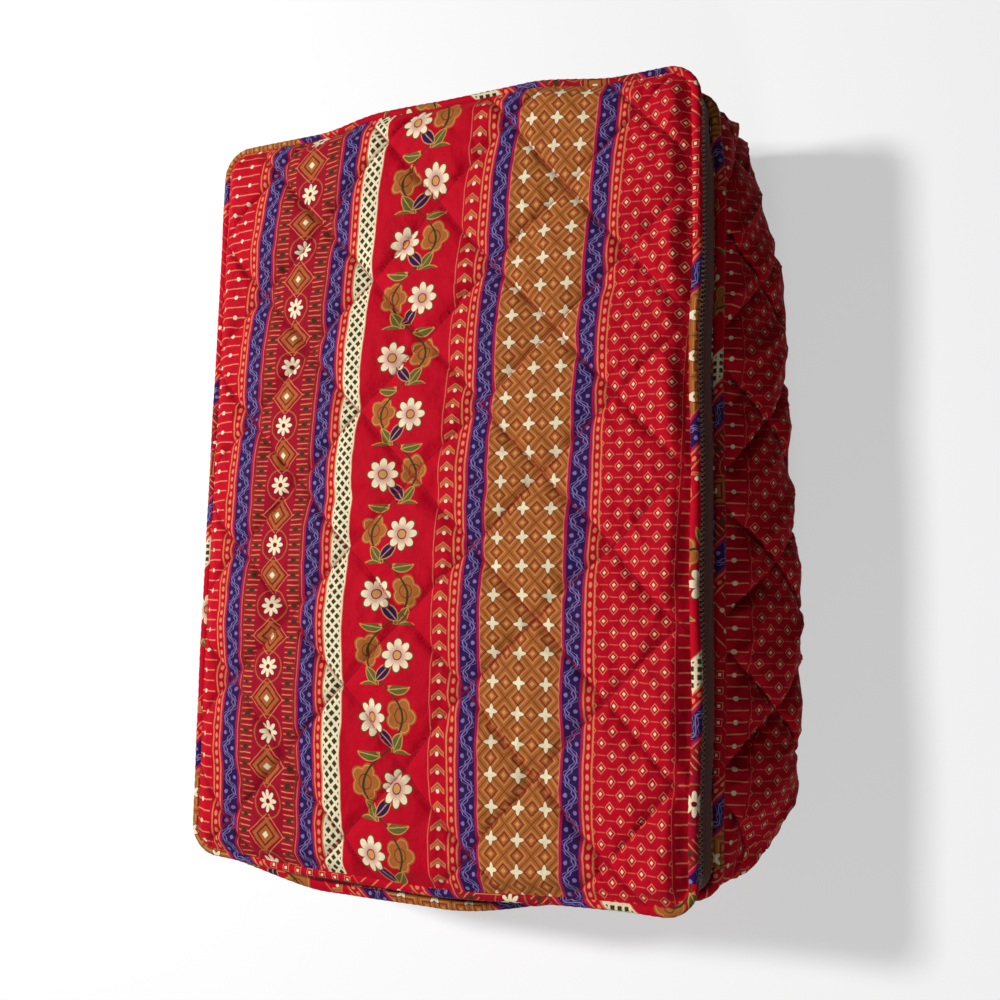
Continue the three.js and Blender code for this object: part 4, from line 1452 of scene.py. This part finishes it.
def unit(vectors):
    """Vectors scaled to length 1."""
    return vectors / np.linalg.norm(vectors, axis=1, keepdims=True)


def make_coil(name, node, side, body):
    """A flattened helix along the chain: across the tape it reaches from its own spine a little past
    the middle, and in depth it makes a narrow oval. The other coil is half a pitch on."""
    turns = int((CHAIN_END - CHAIN_START - 2 * COIL_MARGIN) / COIL_PITCH)
    phase = np.arange(turns * COIL_STEPS) / COIL_STEPS
    s = CHAIN_START + COIL_MARGIN + (phase + (0.5 if side > 0 else 0)) * COIL_PITCH
    z = ZIP + side * (COIL_SPINE - np.cos(2 * np.pi * phase) * COIL_REACH)
    centre = beside(s, TAPE_OUT - COIL_IN + COIL_DEPTH * np.sin(2 * np.pi * phase), z)
    ahead = unit(np.gradient(centre, axis=0))
    first = unit(np.cross(ahead, np.array([0.0, 0.0, 1.0])))
    second = np.cross(first, ahead)
    angle = np.linspace(0, 2 * np.pi, COIL_SIDES, endpoint=False)[:, None]
    ring = first[:, None] * np.cos(angle) + second[:, None] * np.sin(angle)
    cloth = grid_of(s, np.linspace(0, 0.002, COIL_SIDES + 1))
    coil = skin(name, settle(centre[:, None] + ring * COIL_WIRE), cloth)
    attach(coil, body)
    dress(coil, COIL, "zip_teeth", node)
    print(name, "has", turns, "turns")


make_coil("lower_coil", "zip_teeth_lower", -1, "case")
make_coil("upper_coil", "zip_teeth_upper", 1, "lid")

# %% [markdown]
# ## Metal parts
# The slider, the pull and the far stops are rigid, and already have their true shape in the frame,
# so they stay and only get a finish: worn, antiqued brass. It could be a photograph of brass, but
# noise that shifts both the colour and the roughness looks as worn and has no seams. The two stops
# at the near end go with the slumped tape, so they are made again as small pressed clips.

# %% Brass
def make_brass():
    """Old brass: brown where it is dull, gold where hands have rubbed it."""
    material, tree, shader = new_material("worn_brass", Metallic=1.0)
    place = object_place(tree)
    worn = patches(place, 160.0, 3.0, 1.3, 0.55)
    feed(shader.inputs["Base Color"], lay(dye("7a5a2c"), dye("b89252"), worn))
    feed(shader.inputs["Roughness"], worn * -0.14 + 0.42)
    feed(shader.inputs["Normal"], bump(tree, noise(place, 700.0, 2.0), 0.00002))
    return material


def refinish(node, finish):
    """Gives a piece of the frame that stays another finish."""
    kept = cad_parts[node]
    kept.data.materials.clear()
    kept.data.materials.append(finish)


BRASS = make_brass()
KEPT_METAL = ["zip_top_stop_lower", "zip_top_stop_upper", "slider_outer_plate",
              "slider_inner_plate", "slider_crown", "zip_pull"]
for node_name in KEPT_METAL:
    refinish(node_name, BRASS)
print("brass on", KEPT_METAL)

# %% Near stops
STOP_RINGS = 9
STOP_POINTS = 16


def bulged(wave, power):
    """A sine or cosine pushed out by a power under 1, which squares a circle."""
    return np.sign(wave) * np.abs(wave) ** power


def make_stop(name, node, body):
    """A clip pressed round the tape's edge: a rounded block as large as the frame's own."""
    low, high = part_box(node)
    middle, half = (low + high) / 2, (high - low) / 2
    share = np.linspace(-1, 1, STOP_RINGS)
    round_off = np.sqrt(np.clip(1 - share ** 4, 0.05, 1))[:, None]
    angle = np.linspace(0, 2 * np.pi, STOP_POINTS, endpoint=False)
    x = middle.x + share[:, None] * half.x + 0 * angle
    y = middle.y + round_off * bulged(np.cos(angle), 0.5) * half.y
    z = middle.z + round_off * bulged(np.sin(angle), 0.5) * half.z
    cloth = grid_of(share * 0.002, np.linspace(0, 0.01, STOP_POINTS + 1))
    stop = skin(name, settle(np.stack([x, y, z], -1)), cloth)
    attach(stop, body)
    dress(stop, BRASS, "zip_metal", node)


make_stop("near_stop_lower", "zip_bottom_stop_lower", "case")
make_stop("near_stop_upper", "zip_bottom_stop_upper", "lid")

# %% [markdown]
# ## Lining cotton
# The inside is unbleached cotton, the plain back of the quilting. It shows when the lid is open. A
# flat beige would look like card. So it has the same weave and stitch lines as the print, painted
# shade in the stitch valleys, a mottle of undyed fibre, and slubs, which are the short thick places
# in its yarn.

# %% Lining finish
def make_lining_cotton():
    """Plain cotton with its quilting lines and painted shade along them, from the place on the cloth."""
    material, tree, shader = new_material(
        "lining_cotton", Roughness=0.85, Sheen_Weight=0.05, Specular_IOR_Level=0.15
    )
    place = cloth_place(tree)
    colour = lay(dye("c9b78f"), dye("e2d4b0"), patches(place, 0.05, 4.0, 1.4, 0.45))
    colour = lay(colour, dye("a8925f"), patches(place, 0.9, 2.0, 2.0, 0.2) * 0.3)
    thread, valley = quilting_thread_and_shade(tree)
    # Painted shade: the quilting valleys are darkened with a deeper beige.
    colour = lay(colour, dye("8f7a50"), valley * 0.3)
    normal = bump(tree, weave(place) * 0.6 + noise(place, 0.9, 3.0), 0.00014)
    feed(shader.inputs["Base Color"], lay(colour, dye("b5a070"), thread))
    feed(shader.inputs["Normal"], bump(tree, thread - valley, 0.0008, normal))
    return material


LINING = make_lining_cotton()
print("lining finish:", LINING.name)

# %% [markdown]
# ## The tray's lining
# The lining covers the floor and climbs the walls to the body cord. The inner faces of the walls
# could simply be painted, but their edges would show at the rim. So it is one skin over a stack of
# loops: out over the floor, up the inner side, over the top edge, and down behind. Its quilting
# is worked out flat on the floor, and along the seam on the walls.

# %% The lining's loops
LINING_OUT = -0.0053
LINING_IN = -0.0063
LINING_THICK = 0.001
LINING_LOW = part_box("case_lining")[0].z
LINING_FLOOR = LINING_LOW + LINING_THICK
LINING_TOP = BODY_SEAM - SEAM_TUCK
LINING_STEP = 0.0025
FLOOR_SHARES = np.linspace(0.03, 1, 40)
CLIMB_LEVELS = np.linspace(LINING_FLOOR + 0.0005, LINING_TOP, 36)
UNDER_SHARES = (1.0, 0.6, 0.2)
LINING_S = np.linspace(0, ROUND, int(ROUND / LINING_STEP), endpoint=False)


def climb_loop(z):
    """One loop of the inner side at a level. It follows the belly, but not down at the floor."""
    level = np.full_like(LINING_S, z)
    follow = ease(z, LINING_FLOOR, WALL_LOW + 0.008)
    return beside(LINING_S, LINING_IN + belly(LINING_S, level) * follow, level)


def floor_loop(share, z):
    """One loop of the floor: the outline drawn in to a share of its size."""
    return beside(LINING_S, LINING_IN, np.full_like(LINING_S, z)) * np.array([share, share, 1.0])


print("lining:", len(FLOOR_SHARES), "loops on the floor and", len(CLIMB_LEVELS), "up the walls")

# %% Tray lining
FLOOR_QUILT = 0.0013
WALL_QUILT = 0.0015


def pad_lining(inner, v):
    """Quilts the inner loops: the floor is pushed up, and the walls inwards."""
    floor_count = len(FLOOR_SHARES)
    long_s = np.broadcast_to(LINING_S, v.shape)
    on_wall, wall_lines = quilt(long_s, v, WALL_QUILT, 100, pucker=0.0005)
    on_floor, floor_lines = quilt(inner[..., 0], inner[..., 1], FLOOR_QUILT, 110, pucker=0.0004)
    up_wall = v - v[floor_count - 1]
    push = on_wall * ease(up_wall, 0, 0.010) * ease(v[-1] - v, 0, 0.004)
    push[:floor_count] = 0
    _, out = outline(LINING_S)
    padded = inner - np.pad(out, ((0, 0), (0, 1)))[None] * push[..., None]
    edge_fade = ease(FLOOR_SHARES, 0.999, 0.97)[:, None]
    padded[:floor_count, :, 2] += on_floor[:floor_count] * edge_fade
    return padded, np.concatenate([floor_lines[:floor_count], wall_lines[floor_count:]])


def lining_cloth(inner, v, back_count):
    """The place on the cloth: flat on the floor, and along and up the walls and behind them."""
    floor_count = len(FLOOR_SHARES)
    wall_v = np.concatenate([v[floor_count:], np.broadcast_to(v[-1], (back_count, v.shape[1]))])
    walls = np.stack([np.broadcast_to(LINING_S, wall_v.shape), wall_v], -1)
    walls = np.concatenate([walls, walls[:, :1] + np.array([ROUND, 0.0])], axis=1)
    flat = inner[:floor_count, :, :2]
    return np.concatenate([np.concatenate([flat, flat[:, :1]], axis=1), walls])


def make_tray_lining():
    inner = [floor_loop(share, LINING_FLOOR) for share in FLOOR_SHARES]
    inner = np.array(inner + [climb_loop(z) for z in CLIMB_LEVELS])
    lengths = np.linalg.norm(np.diff(inner[:, 0], axis=0), axis=1)
    v = np.concatenate([[0], np.cumsum(lengths)])[:, None]
    v = np.broadcast_to(v, inner.shape[:2])
    padded, lines = pad_lining(inner, v)
    _, out = outline(LINING_S)
    thickness = np.pad(out, ((0, 0), (0, 1))) * (LINING_OUT - LINING_IN)
    back = [climb_loop(z) + thickness for z in CLIMB_LEVELS[::-6]]
    back = np.array(back + [floor_loop(share, LINING_LOW) for share in UNDER_SHARES])
    no_line = np.full(back.shape, LINE_PITCH / 2)
    lining = skin(
        "tray_lining", settle(np.concatenate([padded, back])), lining_cloth(inner, v, len(back)),
        stitches=np.concatenate([lines, no_line]),
    )
    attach(lining, "case")
    dress(lining, LINING, "lining", "case_lining")


make_tray_lining()

# %% [markdown]
# ## The lid's lining and the board
# Under the lid lies the same plain cotton, with the stitch lines of the lid seen from behind. It
# could be the lid's own back face, but it is sewn in further from the edge, inside the flange. It is a
# pad like the lid, upside down. The stiff board under the tray's floor keeps the frame's shape and
# gets a finish of pressed fibre.

# %% Lid lining
LID_LINING_INSET = CORD / 2 + FLANGE + SEAM_GAP
LID_LINING_QUILT = 0.0016
LID_LINING_COARSER = 1.6
LID_LINING_DOME = 0.3
LID_LINING_HANG = 0.0008

# Above the lining: shares of its size, and heights over its lowest level
LID_LINING_BACK = [(1.0, 0.001), (0.6, 0.0032), (0.2, 0.0046)]


def make_lid_lining():
    low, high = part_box("lid_lining")
    half_x, half_y = SEAM_WIDTH / 2 - LID_LINING_INSET, SEAM_LENGTH / 2 - LID_LINING_INSET
    radius = CORNER - LID_LINING_INSET
    step = LID_STEP * LID_LINING_COARSER
    x, y = rounded_grid(half_x, half_y, radius, step, step / 2)
    inside = distance_in(x, y, half_x, half_y, radius)
    height, lines = quilt(x + off_grain(y), y, LID_LINING_QUILT, 20, pucker=0.0005)
    dome = (high.z - low.z - LINING_THICK) * crown_over(x, y, half_x, half_y)
    z = low.z + dome * LID_LINING_DOME + (LID_LINING_HANG - height) * ease(inside, 0, 0.01)
    under = drawn_in(x, y, [(share, low.z + rise) for share, rise in LID_LINING_BACK])
    cloth = np.stack([x + SEAM_WIDTH / 2, y + SEAM_LENGTH / 2], -1)
    lining = pad("lid_lining_cloth", settle(np.stack([x, y, z], -1)), settle(under), cloth, lines)
    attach(lining, "lid")
    dress(lining, LINING, "lining", "lid_lining")


make_lid_lining()

# %% Board
def make_board_finish():
    """Pressed fibre: two greys mixed by fine noise."""
    material, tree, shader = new_material("pressed_board", Roughness=0.8)
    fibres = patches(object_place(tree), 300.0, 5.0, 1.5, 0.5)
    feed(shader.inputs["Base Color"], lay(dye("4a453e"), dye("7a7264"), fibres))
    feed(shader.inputs["Normal"], bump(tree, fibres, 0.0001))
    return material


refinish("base_board", make_board_finish())
print("board keeps the frame's shape")

# %% [markdown]
# ## Hand loops
# One padded strap hangs on each short end: a U of printed cotton, folded and stitched along both
# edges. It could be a curve with a flat bevel, but it has to lie on a bellied wall. So its middle
# line is worked out on the flat, down, round a bend, across and up again, and every point is then
# laid on the wall behind it. The two ends are sewn under the body cord, so its roots stay in the
# seam.

# %% The loop's middle line
LOOP_WIDTH = 0.150
STRAP = 0.030
STRAP_THICK = 0.003
LOOP_TOP = BODY_SEAM - CORD / 2 - STRAP_THICK / 2 - SEAM_GAP
LOOP_DROP = 0.066
LEG_X = (LOOP_WIDTH - STRAP) / 2
LOOP_BEND = 0.030
BEND_Z = LOOP_TOP - LOOP_DROP + STRAP / 2 + LOOP_BEND


def loop_path(count):
    """The middle line of the U at even steps along the leg, the bend, the bar, the other bend and
    the other leg: the length so far, the distance from the middle, the height, the angle across the
    strap, and 1 on the first half or -1 on the second."""
    leg, bend, bar = LOOP_TOP - BEND_Z, LOOP_BEND * np.pi / 2, 2 * (LEG_X - LOOP_BEND)
    total = 2 * leg + 2 * bend + bar
    d = np.linspace(0, total, count)
    half = np.minimum(d, total - d)
    angle = np.clip((half - leg) / LOOP_BEND, 0, np.pi / 2)
    past = np.maximum(half - leg - bend, 0)
    x = LEG_X - LOOP_BEND + np.cos(angle) * LOOP_BEND - past
    z = BEND_Z - np.sin(angle) * LOOP_BEND + np.maximum(leg - half, 0)
    return d, x, z, angle, np.where(d > total / 2, -1.0, 1.0)


print("a hand loop is cut", round(float(loop_path(2)[0][-1]) * 1000), "mm long")

# %% Hand loops
LOOP_RINGS = 170
STRAP_POINTS = 44
STRAP_LIFT = 0.0004
GROOVE_PLACE = 0.82
GROOVE_DEPTH = 0.35


def strap_depth(d, wide, around):
    """Half the strap's thickness round its section: a flattened oval with a groove for each stitch
    row, small puckers, and thin tips."""
    groove = 1 - GROOVE_DEPTH * np.exp(-(((np.abs(wide) - GROOVE_PLACE) / 0.05) ** 2))
    pucker = 0.00025 * hills(d[:, None], wide * 0.01, 0.006, 130)
    tip = np.clip(np.minimum(d, d[::-1]) / 0.002, 0.25, 1) ** 0.5
    return bulged(np.sin(around), 0.7) * groove * (STRAP_THICK / 2 + pucker) * tip[:, None]


def make_loop(name, node, side):
    """The section is carried along the middle line and laid on the belly of the end wall."""
    d, x, z, turn, half = loop_path(LOOP_RINGS)
    around = np.linspace(0, 2 * np.pi, STRAP_POINTS, endpoint=False)
    wide = bulged(np.cos(around), 0.55)
    px = (x[:, None] + np.cos(turn)[:, None] * wide * STRAP / 2) * half[:, None]
    pz = z[:, None] - np.sin(turn)[:, None] * wide * STRAP / 2
    place = turn_length(2 if side > 0 else 6) + END / 2 - px * side
    lift = belly(place, np.minimum(pz, LOOP_TOP)) + STRAP_THICK / 2 + STRAP_LIFT
    y = side * (SEAM_LENGTH / 2 + lift + strap_depth(d, wide, around))
    cloth = grid_of(d, np.append(wide, wide[0]) * STRAP / 2)[..., ::-1]
    strap = skin(name, settle(np.stack([px, y, pz], -1)), cloth)
    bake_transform(strap)
    dress(strap, LOOP_CLOTH, "print_cotton", node)


make_loop("near_hand_loop", "handle_near", -1)
make_loop("far_hand_loop", "handle_far", 1)

# %% [markdown]
# ## Floor
# The object lies on plain white. A white world alone would show no shadow, and a bright white floor
# would throw light up into the shaded wall. So the floor is grey for the light that it passes on,
# and white for rays from the camera and from mirrors. It keeps the shadow near the object, and
# fades to the world's white further out, so no horizon shows.

# %% Floor
FLOOR_HALF = 3.0
FLOOR_GLOW = 0.5
FADE_START = 0.45
FADE_END = 1.3


def seen_rays(tree):
    """1 for rays that show a thing, straight or by a mirror or glass, and 0 for rays that light it."""
    rays = tree.nodes.new("ShaderNodeLightPath")
    seen = Number(rays.outputs["Is Camera Ray"]) + Number(rays.outputs["Is Glossy Ray"])
    return reckon("ADD", seen, Number(rays.outputs["Is Transmission Ray"]), clamp=True)


def make_floor_finish():
    """White near the object where it is seen, glowing more with the distance from the middle."""
    material, tree, shader = new_material("floor_white", Roughness=0.9, Specular_IOR_Level=0.1)
    place = object_place(tree)
    seen = seen_rays(tree)
    white = lay(dye("f6f6f6"), dye("fbfbfb"), noise(place, 3.0) + 0.5)
    feed(shader.inputs["Base Color"], lay(dye("808080"), white, seen))
    away = hypot(*split(place)) - FADE_START
    fade = reckon("MULTIPLY", away, 1 / (FADE_END - FADE_START), clamp=True)
    glow = tree.nodes.new("ShaderNodeEmission")
    blend = tree.nodes.new("ShaderNodeMixShader")
    feed(blend.inputs[0], seen * (fade * (1 - FLOOR_GLOW) + FLOOR_GLOW))
    feed(blend.inputs[1], shader.outputs[0])
    feed(blend.inputs[2], glow.outputs[0])
    feed(tree.nodes["Material Output"].inputs["Surface"], blend.outputs[0])
    return material


def make_floor():
    corners = [(x * FLOOR_HALF, y * FLOOR_HALF, 0) for x, y in ((-1, -1), (1, -1), (1, 1), (-1, 1))]
    mesh = bpy.data.meshes.new("floor")
    mesh.from_pydata(corners, [], [(0, 1, 2, 3)])
    floor = bpy.data.objects.new("floor", mesh)
    bpy.context.scene.collection.objects.link(floor)
    floor.data.materials.append(make_floor_finish())


make_floor()
print("the floor fades to white from", FADE_START, "to", FADE_END, "m")

# %% [markdown]
# ## Light
# The photograph was lit from over the left side, so the right wall lies in deep shade and its folds
# have dark sides. A small key lamp stands there. A weaker one low in front lights the near end, and
# shows the folds of the walls from the side. One lamp and a bright world would be simpler, but they
# would fill the folds, so the world adds next to nothing.

# %% Light
WORLD_LEVEL = 0.03
LAMP_AIM = Vector((0, 0, 0.05))


def make_world():
    """White where it is seen, and almost dark as a light."""
    world = bpy.data.worlds.new("pale_world")
    world.use_nodes = True
    background = world.node_tree.nodes["Background"]
    background.inputs["Color"].default_value = (1, 1, 1, 1)
    level = seen_rays(world.node_tree) * (1 - WORLD_LEVEL) + WORLD_LEVEL
    feed(background.inputs["Strength"], level)
    bpy.context.scene.world = world


def add_lamp(name, place, size, power):
    """A square soft lamp that faces the object."""
    light = bpy.data.lights.new(name, "AREA")
    light.size = size
    light.energy = power
    lamp = bpy.data.objects.new(name, light)
    lamp.location = place
    lamp.rotation_euler = (LAMP_AIM - Vector(place)).to_track_quat("-Z", "Y").to_euler()
    bpy.context.scene.collection.objects.link(lamp)


make_world()
add_lamp("key", (-0.78, 0.24, 1.28), 0.16, 23.5)
add_lamp("fill", (0.35, -1.30, 0.75), 0.22, 5)

# %% [markdown] ## The end The visual model may stand a little proud of the frame, as
# cloth does.

# %% View transform
bpy.context.scene.view_settings.view_transform = "Standard"
